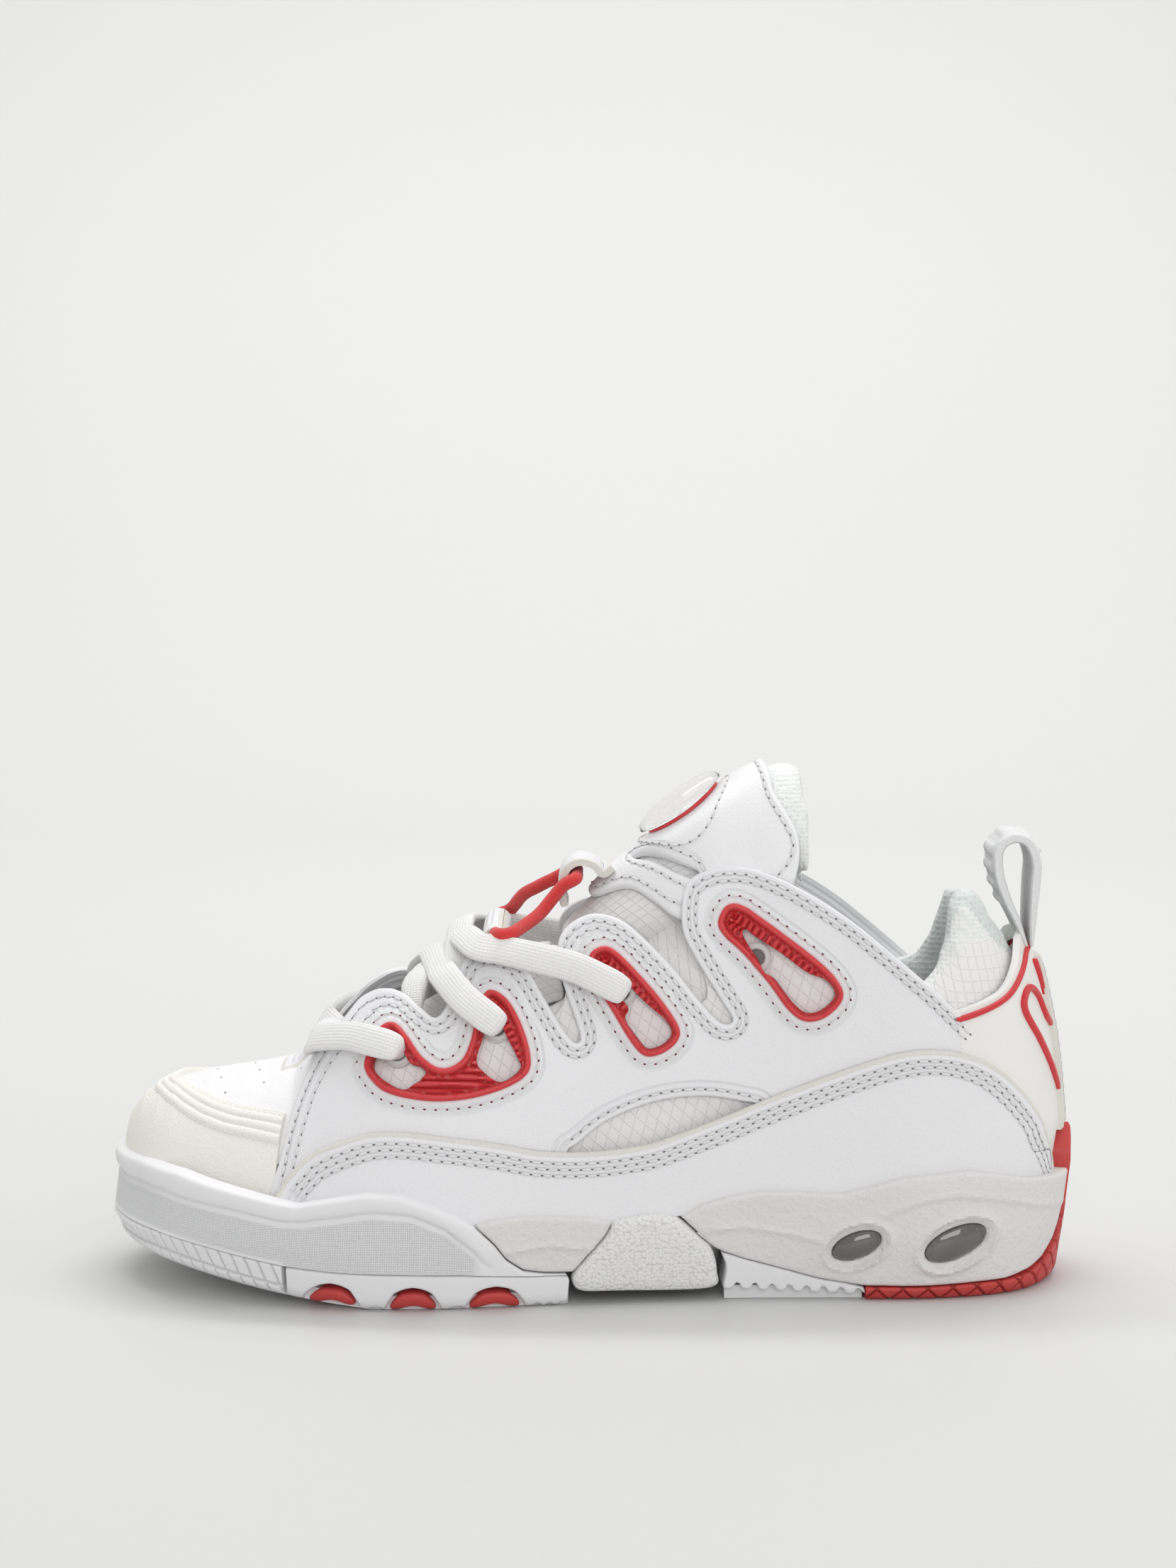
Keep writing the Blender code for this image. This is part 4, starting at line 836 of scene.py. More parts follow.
REAR_TREAD_TOP = [(40.4, 15.8), (47.7, 13.1), (56.6, 10.6), (69.5, 6.9), (84, 4.4)]
HEEL_TREAD_TOP = [
    (84.4, 4.3), (99.8, 3.9), (118.4, 4.5), (129.2, 4.7), (136.1, 5.6), (142.6, 9), (146.4, 13.5),
    (147.9, 20), (149.2, 27), (150.2, 34), (151.2, 48),
]
WINDOWS = {"front": (81.5, 17.3, 22, (10.6, 7.0), (7.9, 4.1)), "rear": (112.2, 17.6, 22, (13.0, 8.0), (10.3, 5.0))}
PODS = {"1": (-85, -70.5, 6.4), "2": (-59.4, -45.4, 5.4), "3": (-34.7, -19.9, 5.0)}
TREAD_GAP = 0.35


def gaussian(value, width):
    return np.exp(-(value / width) ** 2)


def stripes(value, period, width):
    """1 in the middle of a groove, once every period, 0 away from it."""
    off = np.abs((value / period + 0.5) % 1 - 0.5) * period
    return np.clip(1 - (off / width) ** 2, 0, 1)


def build_sidewall():
    """The cup's wall round the toe: a rolled bead over a groove and a dotted panel."""
    lowest = BUMPER_TOP[:-1] + [(-92.2, 13.3)] + TREAD_TOP

    def relief(s, x, z, t):
        top, groove = level(BEAD_TOP, x), level(BEAD_GROOVE, x)
        fade = np.clip((-27 - x) / 9, 0, 1)
        u = np.clip((z - groove) / np.maximum(top - groove, 1), 0, 1)
        bead = 1.5 * np.sqrt(np.maximum(1 - (2 * u - 1) ** 2, 0)) * fade
        return bead - 0.75 * gaussian(z - groove + 0.5, 0.75) * fade

    def dots(s, x, z):
        top = level(BEAD_GROOVE, x) - 1.6
        low = np.where(x < -92, level(BUMPER_TOP, x) + 1.2, 10.2)
        fade = np.clip((-31.5 - x) / 3, 0, 1)
        return np.clip((top - z) / 0.6, 0, 1) * np.clip((z - low) / 0.6, 0, 1) * fade

    piece = sole_band("cup_wall", sole_run(-6.2, 1), sole_run(-6.2, -1), lambda s: level(lowest, sole_x(s)) + TREAD_GAP,
                      lambda s: level(BEAD_TOP, sole_x(s)), 44, 0.9, M["dotted"], relief, inner=-4.6, marks=dots)
    shown(piece, SHOE, "rubber", "cupsole_sidewall")


def build_bumper():
    """The toe bumper, moulded with a net of square blocks."""
    def net(s, x, z):
        upright = stripes(s + 0.35 * z * np.sign(s), 4.3, 0.5)
        lengthwise = gaussian(z - (level(BUMPER_TOP, x) - 5.2 - 0.02 * (x + 150)), 0.5)
        lower = gaussian(z - (level(BUMPER_TOP, x) - 9.6), 0.5)
        return np.maximum(upright, np.maximum(lengthwise, lower))

    def relief(s, x, z, t):
        return -0.95 * net(s, x, z) * np.clip(t * 12, 0, 1)

    # the groove mark also sets where the rubber's finish paints shade
    piece = sole_band("bumper_blocks", sole_run(-92.6, 1), sole_run(-92.6, -1), lambda s: level(GROUND, sole_x(s)),
                      lambda s: level(BUMPER_TOP, sole_x(s)), 34, 0.36, M["rubber"], relief, inner=-9.0, lip=0.8,
                      marks=net, mark_name="groove")
    shown(piece, SHOE, "rubber", "toe_bumper")


def toothed(x0, x1, low, depth, count):
    """The lower edge of a tread between two places, cut by rounded gaps."""
    points = []
    step = (x1 - x0) / count
    for k in range(count):
        a = x0 + k * step
        points += [(a, low(a)), (a + step * 0.50, low(a)), (a + step * 0.60, low(a) + depth),
                   (a + step * 0.84, low(a) + depth), (a + step * 0.98, low(a) + depth * 0.2)]
    return points


def build_forefoot_tread(word, side):
    """The forefoot's tread edge, notched for the pods and cut into teeth."""
    def ground(x):
        return float(level(GROUND, x))

    line = [(-91.4, ground(-91.4)), (-88.5, ground(-88.5))]
    for x0, x1, top in PODS.values():
        line += [(x0 - 1.5, ground(x0)), (x0 - 1.5, ground(x0) + 1.8), (x0 + 1.2, top + 0.4), (x0 + 4, top + 1.7),
                 ((x0 + x1) / 2, top + 2.3), (x1 - 4, top + 1.7), (x1 - 1.2, top + 0.4), (x1 + 1.5, ground(x1) + 1.8),
                 (x1 + 1.5, ground(x1))]
        if x1 < -40:
            lug = x1 + 4.2
            line += [(lug, ground(lug)), (lug + 0.8, ground(lug) + 1.3), (lug + 4.0, ground(lug) + 1.3),
                     (lug + 4.4, ground(lug))]
    line += toothed(-17.2, -6.2, ground, 1.5, 3)
    line += [(-5.6, 2.2), (-5.4, 5.9), (-5.2, 9.3)]
    top = [(x, level(TREAD_TOP, x)) for x in np.arange(-8, -91, -6.0)] + [(-91.4, 13.1)]
    outline = even(np.array(line + top), 0.9, True)
    piece = sole_panel(f"forefoot_tread_{word}", outline, side, M["rubber"], low=-13.0, radius=0.5)
    shown(piece, SHOE, "rubber", *(["outsole_forefoot"] if side < 0 else []))


def build_pods(word, side):
    """Red rubber traction pods in the forefoot's arched recesses."""
    for number, (x0, x1, top) in PODS.items():
        base = float(level(GROUND, (x0 + x1) / 2))
        middle = (x0 + x1) / 2
        outline = [(x0, base + 0.3), (x0 + 0.2, base + 2.2), (x0 + 2.4, top - 0.8), (middle - 2.5, top + 0.2),
                   (middle + 2.5, top + 0.2), (x1 - 2.4, top - 0.8), (x1 - 0.2, base + 2.2), (x1, base + 0.3),
                   (x1 - 2.5, base + 0.1), (middle + 2.8, base + 0.9), (middle, base + 1.5), (middle - 2.8, base + 0.9),
                   (x0 + 2.5, base + 0.1)]
        piece = sole_panel(f"pod_{word}_{number}", smooth(outline, 0.7, True), side, M["red_rubber"], low=-11.5,
                           spacing=1.0, radius=1.0, out=-0.3)
        shown(piece, SHOE, "red_rubber", f"traction_pod_{word}_{number}")


def window_ring(x, z, window, which):
    """How far a place is from a window's centre, 1 on its rim (which 3) or its glass (which 4)."""
    cx, cz, tilt = window[:3]
    a, b = window[which]
    turn = math.radians(tilt)
    u = (x - cx) * math.cos(turn) + (z - cz) * math.sin(turn)
    v = -(x - cx) * math.sin(turn) + (z - cz) * math.cos(turn)
    return np.sqrt((u / a) ** 2 + (v / b) ** 2)


def window_outline(window, which, grow=0.0, count=48):
    cx, cz, tilt = window[:3]
    a, b = window[which][0] + grow, window[which][1] + grow
    angle = np.linspace(0, 2 * np.pi, count, endpoint=False)
    turn = math.radians(tilt)
    u, v = a * np.cos(angle), b * np.sin(angle)
    return np.column_stack([cx + u * math.cos(turn) - v * math.sin(turn), cz + u * math.sin(turn) + v * math.cos(turn)])


def build_midsole(word, side):
    """The foam: a front wedge, the long rear block with its windows, and soft moulded ridges."""
    front_low = [(-33.4, 26.3), (-28, 20.9), (-24, 15.6), (-19, 12.1), (-13, 11.1), (-4.8, 10.8)]
    front = FOAM_TOP_FRONT + [(5.4, 22.3), (-1.2, 14.3), (-4.3, 10.6)] + front_low[::-1]
    ridge = [(-26, 17.2), (-22.7, 18), (-11.2, 19.8), (0, 17.9), (6, 17)]

    def front_relief(x, z, edge):
        rise = gaussian(z - level(ridge, x), 0.8) * 0.5
        return rise - 0.35 * (z < level(ridge, x) - 0.6)

    piece = sole_panel(f"foam_front_{word}", even(np.array(front), 1.2, True), side, M["foam"], radius=0.9,
                       spacing=1.1, relief=front_relief)
    shown(piece, SHOE, "foam", *(["midsole_foam"] if side < 0 else []))

    def heel_low(x):
        return level(REAR_TREAD_TOP + HEEL_TREAD_TOP[1:], x) + TREAD_GAP

    xs = [149.4, 148.6, 147.4, 146.2, 144.4, 142.4, 138, 130, 118, 105, 95, 84, 75, 69.5, 56.6, 47.7, 40.6]
    low = [(x, float(heel_low(x))) for x in xs]
    rear = FOAM_TOP_REAR + low + [(38.2, 17.4), (34.9, 20.7)]
    first = [(34, 22.8), (47.7, 23.7), (61.5, 21.5), (69.9, 19.1), (76, 16)]
    second = [(86.8, 25.4), (94, 29), (102.5, 32), (111.7, 33.2), (121, 32), (130.8, 29.7), (149, 24)]

    def rear_relief(x, z, edge):
        out = np.zeros(len(x))
        for line, start, stop in ((first, 34, 73), (second, 86, 150)):
            span = np.clip((x - start) / 4, 0, 1) * np.clip((stop - x) / 4, 0, 1)
            under = np.clip((level(line, x) - z) / 1.5, 0, 1) * span
            out += 0.55 * gaussian(z - level(line, x), 0.85) * span - 0.4 * under
        for window in WINDOWS.values():
            rim = window_ring(x, z, window, 3)
            dish = np.clip((1 - rim) / 0.25, 0, 1)
            out = np.where(rim < 1.25, out * np.clip((rim - 1) / 0.25, 0, 1), out)
            out += 1.0 * gaussian(rim - 1.0, 0.085) - 1.2 * dish
        return out

    holes = [window_outline(window, 4) for window in WINDOWS.values()]
    piece = sole_panel(f"foam_rear_{word}", even(np.array(rear), 1.1, True), side, M["foam"], low=-4.2, radius=0.9,
                       spacing=0.95, holes=holes, relief=rear_relief)
    shown(piece, SHOE, "foam")
    for spot, window in WINDOWS.items():
        build_window(word, side, spot, window)


def build_window(word, side, spot, window):
    """A smoked dome with a moulded ring inside its edge."""
    def relief(x, z, edge):
        ring = window_ring(x, z, window, 4)
        return 1.5 * (1 - np.clip(ring, 0, 1) ** 2) - 0.45 * gaussian(ring - 0.86, 0.035)

    piece = sole_panel(f"window_{word}_{spot}", window_outline(window, 4, -0.12), side, M["smoke"], low=-4.0,
                       spacing=0.6, radius=0.3, relief=relief, out=-1.5)
    shown(piece, SHOE, "smoke_window", f"gel_window_{word}_{spot}")


def build_shank(word, side):
    def relief(x, z, edge):
        return 0.5 * np.clip(edge / 4, 0, 1) ** 0.5 - 0.1
    piece = sole_panel(f"shank_{word}", smooth(SHANK, 1.0, True), side, M["pebble"], low=-4.0, radius=1.6, relief=relief)
    shown(piece, SHOE, "white_leather", *(["shank_wrap"] if side < 0 else []))


def build_rear_tread(word, side):
    def low(x):
        return 4.1 - 2.4 * np.clip((x - 41) / 44, 0, 1)

    line = [(40.6, 15.4), (42.2, 11.5), (41.9, 8), (41.2, low(41.2))] + toothed(41.6, 83.6, low, 1.9, 8)
    line += [(84.1, low(84)), (84.1, 4.0)]
    top = [(x, float(level(REAR_TREAD_TOP, x))) for x in (77, 69.5, 63, 56.6, 52, 47.7, 44)]
    piece = sole_panel(f"rear_tread_{word}", even(np.array(line + top), 0.9, True), side, M["rubber"], low=-13.0, radius=0.5)
    shown(piece, SHOE, "rubber", *(["outsole_rear"] if side < 0 else []))


def build_heel_rubber():
    """The red heel tread, cut with crossing grooves, which climbs the back to a tip."""
    first, last = sole_run(84.4, -1), sole_run(84.4, 1) + SOLE_RUN[-1]
    middle = SOLE_RUN[SOLE_TAIL]

    def top(s):
        z = np.full(len(s), 15.0)
        for _ in range(30):
            z = 0.6 * z + 0.4 * level(HEEL_TREAD_TOP, sole_point(s, z)[:, 0])
        return np.minimum(z, np.maximum(47.5 - 1.1 * np.abs(s - middle), 12.0))

    def net(s, x, z):
        around = s - middle
        cross = np.maximum(stripes(around + 1.1 * z, 8.0, 0.6), stripes(around - 1.1 * z, 8.0, 0.6))
        return cross * np.clip((24 - z) / 4, 0, 1)

    def relief(s, x, z, t):
        return 0.5 - 0.95 * net(s, x, z)

    # the groove mark also sets where the red finish paints shade
    piece = sole_band("heel_tread", first, last, lambda s: level(GROUND, sole_x(s)), top, 44, 0.4, M["red_rubber"],
                      relief, inner=-7.0, lip=0.8, marks=net, mark_name="groove")
    shown(piece, SHOE, "red_rubber", "heel_outsole")


def build_tread_plate(name, x0, x1, mat, slot, pattern):
    """The underside between two stations, with its grooves."""
    loop = grown(PLAN_LOOP, -3.3)
    xs = np.linspace(x0, x1, max(int((x1 - x0) / 2.5), 4))
    lateral, medial = halves(loop)
    left = [(x, float(np.interp(x, lateral[:, 0], lateral[:, 1]))) for x in xs]
    right = [(x, float(np.interp(x, medial[:, 0], medial[:, 1]))) for x in xs[::-1]]
    flat, faces, edge = flat_fill(even(np.array(left + right), 2.0, True), 1.6)
    ground = level(GROUND, flat[:, 0]) + 0.15
    lower = ground + pattern(flat[:, 0], flat[:, 1], edge)
    down = np.column_stack([flat, lower])
    up = np.column_stack([flat, ground + 4.0])
    piece = closed_shell(name, down, up, faces, mat, flat, {"edge": edge}, 50)
    shown(piece, SHOE, slot)


def herringbone(x, y, edge):
    zig = np.abs((y / 14 + 0.5) % 1 - 0.5) * 14
    return 1.6 * stripes(x + zig, 7.0, 1.5) * np.clip((edge - 1.5) / 1.0, 0, 1)


def diamonds(x, y, edge):
    cross = np.maximum(stripes(x + y, 10.0, 1.2), stripes(x - y, 10.0, 1.2))
    return 1.4 * cross * np.clip((edge - 1.5) / 1.0, 0, 1)


def build_sole():
    build_sidewall()
    build_bumper()
    for word, side in (("lateral", -1), ("medial", 1)):
        build_forefoot_tread(word, side)
        build_pods(word, side)
        build_midsole(word, side)
        build_shank(word, side)
        build_rear_tread(word, side)
    build_heel_rubber()
    build_tread_plate("toe_plate", -143, -93, M["rubber"], "rubber", diamonds)
    build_tread_plate("forefoot_plate", -92, -6, M["rubber"], "rubber", herringbone)
    build_tread_plate("heel_plate", 84.4, 141, M["red_rubber"], "red_rubber", diamonds)
    build_tread_plate("rear_plate", 41.5, 84, M["rubber"], "rubber", herringbone)


# ------------------------------------------------------------------ camera, light and stage
def build_camera():
    data = bpy.data.cameras.new("camera")
    data.sensor_fit = "VERTICAL"
    data.sensor_height = 36
    data.lens = 69.2
    camera = bpy.data.objects.new("camera", data)
    bpy.context.scene.collection.objects.link(camera)
    target = Vector((SHIFT[0], SHIFT[1], 154.2)) * MM
    camera.location = Vector((SHIFT[0], SHIFT[1] - 934.8, 246.0)) * MM
    camera.rotation_euler = (target - camera.location).to_track_quat("-Z", "Y").to_euler()
    bpy.context.scene.camera = camera


def area_light(name, place, target, size, power, colour=(1, 1, 1)):
    data = bpy.data.lights.new(name, "AREA")
    data.shape = "RECTANGLE"
    data.size, data.size_y = size
    data.energy = power
    data.color = colour
    lamp = bpy.data.objects.new(name, data)
    bpy.context.scene.collection.objects.link(lamp)
    lamp.location = place
    lamp.rotation_euler = (Vector(target) - Vector(place)).to_track_quat("-Z", "Y").to_euler()


def build_stage():
    """A pale sweep: floor, curve and back wall in one sheet."""
    profile = [(-3.0, 0.0), (1.2, 0.0)]
    profile += [(1.2 + 0.9 * math.sin(a), 0.9 - 0.9 * math.cos(a)) for a in np.linspace(0.1, math.pi / 2, 14)]
    profile.append((2.1, 4.0))
    points = [(x / MM, y / MM, z / MM) for x in (-4.0, 4.0) for y, z in profile]
    look = Look("stage_paper", (0.635, 0.635, 0.628), 0.5, Specular_IOR_Level=0.2)
    look.bump(look.noise(look.place(), 0.02, 2), 0.02)
    floor = add_mesh("stage", np.array(points) - SHIFT, grid_faces(2, len(profile)), look.mat)

    world = bpy.data.worlds.new("studio")
    world.use_nodes = True
    world.node_tree.nodes["Background"].inputs[0].default_value = (1, 1, 1, 1)
    world.node_tree.nodes["Background"].inputs[1].default_value = 0.62
    bpy.context.scene.world = world
    bpy.context.scene.view_settings.view_transform = "Standard"
    area_light("top_light", (0.0, 0.15, 1.5), (0, 0, 0.05), (1.6, 1.2), 7.0)
    area_light("front_light", (0.2, -1.8, 0.75), (0, 0, 0.07), (1.1, 0.8), 8.2)
    area_light("right_light", (1.6, -0.3, 0.8), (0, 0, 0.1), (0.6, 0.8), 3.5)
    area_light("wall_light", (0.0, 0.9, 2.4), (0, 2.0, 0.9), (2.5, 0.6), 38)


# ------------------------------------------------------------------ upper
MUDGUARD_TOP = [
    (-93, 33), (-90.5, 37), (-86, 42), (-83, 45), (-75.6, 49), (-65.6, 52.5), (-55.5, 53.3), (-42.8, 52),
    (-28.3, 50), (-15, 47.4), (0, 46.8), (15.7, 48.3), (25.7, 51.1), (41, 56.7), (57, 63.1), (75.2, 70),
    (93.2, 75.8), (104.7, 76.8), (115, 74.7), (124, 69.5), (132, 60.4), (137.5, 50), (140.5, 39), (141.2, 33),
]
QUARTER_EDGE = [
    (-95.2, 31), (-92.2, 43.8), (-89.7, 53), (-86.4, 62.3), (-82.2, 70.5), (-78, 77), (-73, 82.8),
    (-68.5, 87.7), (-61.8, 91.3), (-55.5, 91), (-50, 87.7), (-45.5, 85.4), (-41.6, 90.5), (-38, 99.8),
    (-33, 104), (-26.1, 104.4), (-19, 100.4), (-12.8, 91.2), (-7.1, 82), (-3.6, 78.8), (-2.6, 82),
    (-7.7, 97), (-9, 106.4), (-5.7, 112.2), (1.5, 115.8), (9.2, 114.9), (16.3, 110.1), (25.9, 100.6),
    (34.1, 90.6), (40.2, 84.6), (43.9, 85.5), (39.7, 92.6), (32, 105.1), (28.6, 113.5), (30.2, 125.1),
    (38, 130), (48.7, 130.7), (59.3, 127.5), (69.9, 122), (81.1, 114.6), (93.1, 104.7), (104, 95.1),
    (111, 88.2), (118, 81),
]
QUARTER_REST = [(121, 72), (121, 60), (104, 56), (75, 50), (41, 42), (10, 36), (-28, 36), (-60, 34), (-84, 30)]
SIDE_WINDOW = [
    (-6.6, 46.9), (-3.5, 49.3), (4.6, 55.4), (15.7, 60.1), (25.7, 62.3), (36.2, 62.7), (46.2, 61.2), (52, 59.4),
    (46, 54), (30, 48), (14, 44), (0, 43),
]
CAGE_FRONT = [
    (-66.5, 70.5), (-63.2, 66.1), (-59, 63.9), (-52, 62.6), (-44, 62.2), (-34, 63.3), (-24, 66.4), (-18.2, 70.4),
    (-17.6, 76), (-20, 84), (-23.8, 90.6), (-27.9, 93.3), (-31, 92.4), (-33.4, 87), (-35.6, 78.6), (-38.5, 73.6),
    (-44, 71.6), (-49.5, 74.5), (-54, 80.0), (-57.6, 83), (-61.2, 81.8), (-64.4, 76.5),
]
CAGE_MIDDLE = [
    (0.5, 103.2), (3.1, 106.3), (7.5, 106.3), (14.2, 100.4), (21.8, 91.9), (27.3, 83.6), (26.9, 79.4), (22.5, 75.8),
    (17.2, 74.9), (13.2, 78.5), (7.5, 87.6), (2.6, 96),
]
CAGE_REAR = [
    (39.5, 114.6), (42.3, 119.5), (47.4, 119.4), (56.5, 113.6), (69.8, 103.6), (76.3, 96.5), (76.8, 91.5), (71.5, 86.4),
    (65.5, 85.4), (60.4, 89), (54.5, 97), (47, 105.3), (41.2, 110.6),
]
WINDOW_FRONT_LEFT = [
    (-63.9, 70.4), (-60.4, 67.4), (-55.6, 65.4), (-52.2, 66.6), (-48.6, 69.8), (-49.8, 71.6), (-53.2, 72.8), (-56.0, 77),
    (-58.6, 79.6), (-61.4, 76.6), (-63.6, 73.6),
]
WINDOW_FRONT_RIGHT = [
    (-33.6, 73.6), (-30.6, 69.8), (-26.8, 67.8), (-23.2, 69.2), (-20.4, 72.0), (-21.6, 75.2), (-24.6, 80.8), (-27.4, 86.6),
    (-29.8, 86.2), (-31.8, 80),
]
WINDOW_MIDDLE = [
    (11.0, 90.8), (12.2, 88.6), (11.2, 85.8), (15.6, 79.4), (18.0, 77.2), (21.8, 78.0), (24.8, 80.6), (24.9, 83.0),
    (22.8, 86.0), (16.8, 91.2), (11.6, 96.6), (8.2, 100.2), (6.6, 99.4), (8.0, 95.6),
]
WINDOW_REAR = [
    (46.9, 111.6), (48.0, 112.6), (50.4, 110.8), (58.2, 106.0), (66.2, 100.2), (71.4, 98.2), (74.2, 95.2), (74.4, 92.4),
    (70.6, 88.8), (66.2, 87.9), (62.2, 90.8), (56.6, 98.0), (53.6, 99.8), (51.6, 103.8), (48.2, 108.6),
]
RING_SLOT = "eyelet_plastic"
EYELETS = {"1": (-57, 75.6), "2": (-27.5, 83.4), "3": (10, 93.9), "4": (51.1, 104.2)}
LAYER = {"ripstop": (-0.8, 0.4), "vamp": (0.0, 1.1), "panel": (1.3, 2.9), "overlay": (3.1, 4.7), "cage": (1.2, 3.0)}


def outline_of(points, spacing=0.9):
    return smooth(points, spacing, True)


def run_line(flat_line, side, spacing=0.8):
    """A side-view line as even points of (run, height)."""
    return even(wrapped(np.asarray(flat_line, float), side, upper_run), spacing)


def sew_run(group, run_height, offset, **shape):
    path = upper_point(run_height[:, 0], run_height[:, 1], np.full(len(run_height), offset))
    sew_path(group, path, skin_normal(path), **shape)


def sew_parallel(group, flat_line, side, insets, offset, **shape):
    """Rows of stitches at distances to the inner side of a side-view line."""
    line = run_line(flat_line, side)
    for inset in insets:
        sew_run(group, side_of(line, inset * (1 if side < 0 else -1)), offset, **shape)


def build_ripstop(word, side):
    """The ripstop under the quarter, which its cut-outs and lace windows show."""
    outline = [(-84, 32), (-88, 55), (-80, 68), (-72, 78), (-64, 84.5), (-56, 84), (-50, 80), (-44, 80), (-38, 92),
               (-30, 98.5), (-22, 95.5), (-14, 86), (-8, 90), (-4, 104), (2, 110), (9, 109), (20, 100), (30, 92),
               (36, 92), (34, 106), (33, 117), (36, 123), (44, 126), (56, 124), (70, 116), (84, 105), (96, 95),
               (108, 84), (112, 66), (80, 52), (40, 40), (0, 34), (-40, 32)]
    low, high = LAYER["ripstop"]
    piece = upper_panel(f"ripstop_{word}", outline_of(outline), side, low, high, M["ripstop"], spacing=3.5, fine=2.0)
    shown(piece, SHOE, "mesh")


def build_quarter(word, side):
    low, high = LAYER["panel"]
    outline = outline_of(QUARTER_EDGE + QUARTER_REST, 0.8)
    holes = [outline_of(SIDE_WINDOW)]
    for shape in (CAGE_FRONT, CAGE_MIDDLE, CAGE_REAR):
        run_hole = outline_of(shape)
        holes.append(grown(run_hole, -0.5))

    def relief(flat, edge):
        line = wrapped(np.array(MUDGUARD_TOP, float), side, upper_run)
        order = np.argsort(line[:, 0])
        under = np.interp(flat[:, 0], line[order, 0], line[order, 1]) - flat[:, 1]
        return -0.6 * np.clip(under / 3, 0, 1)

    piece = upper_panel(f"quarter_panel_{word}", outline, side, low, high, M["quarter"], spacing=2.0, radius=0.7,
                        holes=holes, relief=relief)
    shown(piece, SHOE, "white_leather", f"quarter_{word}")
    top = high + 0.12
    edge = spline(QUARTER_EDGE, 900)
    front = edge[edge[:, 0] < -66]
    front = front[front[:, 1] > 36]
    sew_parallel("seam", front, side, (-2.1, -5.0), top)
    lobes = edge[(np.arange(len(edge)) > 150)]
    lobes = lobes[lobes[:, 1] < 131.2]
    sew_parallel("seam", lobes, side, (-2.2, -4.3), top)
    window = spline(SIDE_WINDOW[:8], 60)
    sew_parallel("seam", window, side, (2.1,), top)
    for shape in (CAGE_FRONT, CAGE_MIDDLE, CAGE_REAR):
        ring = wrapped(outline_of(shape), side, upper_run)
        ring = grown(ring, 2.4)
        sew_run("seam_red", np.vstack([ring, ring[:1]]), top)


def build_mudguard(word, side):
    low, high = LAYER["overlay"]
    top_line = spline(MUDGUARD_TOP, 200)
    bottom = [(x, float(level(FEATHER, x)) + 2) for x in (139, 120, 90, 60, 30, 0, -30, -60, -80, -90)]
    outline = even(np.vstack([top_line, bottom]), 0.9, True)
    piece = upper_panel(f"mudguard_panel_{word}", outline, side, low, high, M["mudguard"], spacing=2.4, radius=0.5,
                        hidden=lambda x, z: (x > -76) & (z < level(FEATHER, x) + 13) & (z < level(MUDGUARD_TOP, x) - 8))
    shown(piece, SHOE, "white_leather", f"mudguard_{word}")
    sew_parallel("seam", top_line[8:-4], side, (-3.3, -5.1, -7.0), high + 0.12)


def cage_height(flat, edge, outline, bridged):
    """Height over the moulding's floor, and how deep in a groove each point is; the red finish paints shade by that
    groove depth.
    """
    far, place = nearest(flat, outline)
    rim = 1.5 * np.sqrt(np.clip(1 - ((far - 1.0) / 1.0) ** 2, 0, 1))
    inner = np.clip((far - 2.5) / 0.5, 0, 1)
    ribs = np.clip(1 - (np.abs((place / 2.3 + 0.5) % 1 - 0.5) / 0.36) ** 4, 0, 1)
    if bridged:
        centre = outline[:, 0].mean()
        along, up = flat[:, 0] - centre + 1.0, flat[:, 1]
        bowed = up + 0.004 * along ** 2
        long_ribs = np.clip(1 - (np.abs((bowed / 2.1 + 0.5) % 1 - 0.5) / 0.37) ** 4, 0, 1)
        ribs = np.where((np.abs(along) < 14.5) & (up < 74.5), long_ribs, ribs)
    height = rim + inner * (-0.3 + 1.0 * ribs)
    groove = np.clip(inner * (1 - ribs) + gaussian(far - 2.15, 0.35), 0, 1)
    return height, groove


def cage_moulding(name, shape, windows, side, bridged):
    """A lace cage: raised rim, grooved border, ribbed flange and open windows."""
    outline = wrapped(outline_of(shape, 0.6), side, upper_run)
    holes = [wrapped(outline_of(w, 0.6), side, upper_run) for w in windows]
    flat, faces, edge = flat_fill(outline, 0.62, holes, edge_steps=(0.25, 0.6), edge_spacing=0.6)
    low, high = LAYER["cage"]
    height, groove = cage_height(flat, edge, outline, bridged)
    top = upper_point(flat[:, 0], flat[:, 1], rounded(edge, high, 0.35) + height)
    bottom = upper_point(flat[:, 0], flat[:, 1], np.full(len(flat), low))
    return closed_shell(name, top, bottom, faces, M["red"], flat, {"edge": edge, "groove": groove}, 50)


def build_cages(word, side):
    shapes = {"front": (CAGE_FRONT, (WINDOW_FRONT_LEFT, WINDOW_FRONT_RIGHT)), "middle": (CAGE_MIDDLE, (WINDOW_MIDDLE,)),
              "rear": (CAGE_REAR, (WINDOW_REAR,))}
    for place, (shape, windows) in shapes.items():
        piece = cage_moulding(f"cage_{place}_{word}_moulding", shape, windows, side, place == "front")
        shown(piece, SHOE, "red_tpu", f"cage_{place}_{word}")


def turned_ring(name, centre, out, profile, mat, count=40):
    """A ring turned about a line: profile is (radius, height) pairs round its closed section."""
    first = np.cross(out, (0, 0, 1.0))
    first /= np.linalg.norm(first)
    second = np.cross(out, first)
    points = []
    for k in range(count):
        a = 2 * math.pi * k / count
        arm = first * math.cos(a) + second * math.sin(a)
        points += [centre + arm * r + out * h for r, h in profile]
    n = len(profile)
    faces = grid_faces(count, n, wrap=True)
    last = (count - 1) * n
    faces += [[last + j, last + (j + 1) % n, (j + 1) % n, j] for j in range(n)]
    return add_mesh(name, np.array(points), faces, mat)


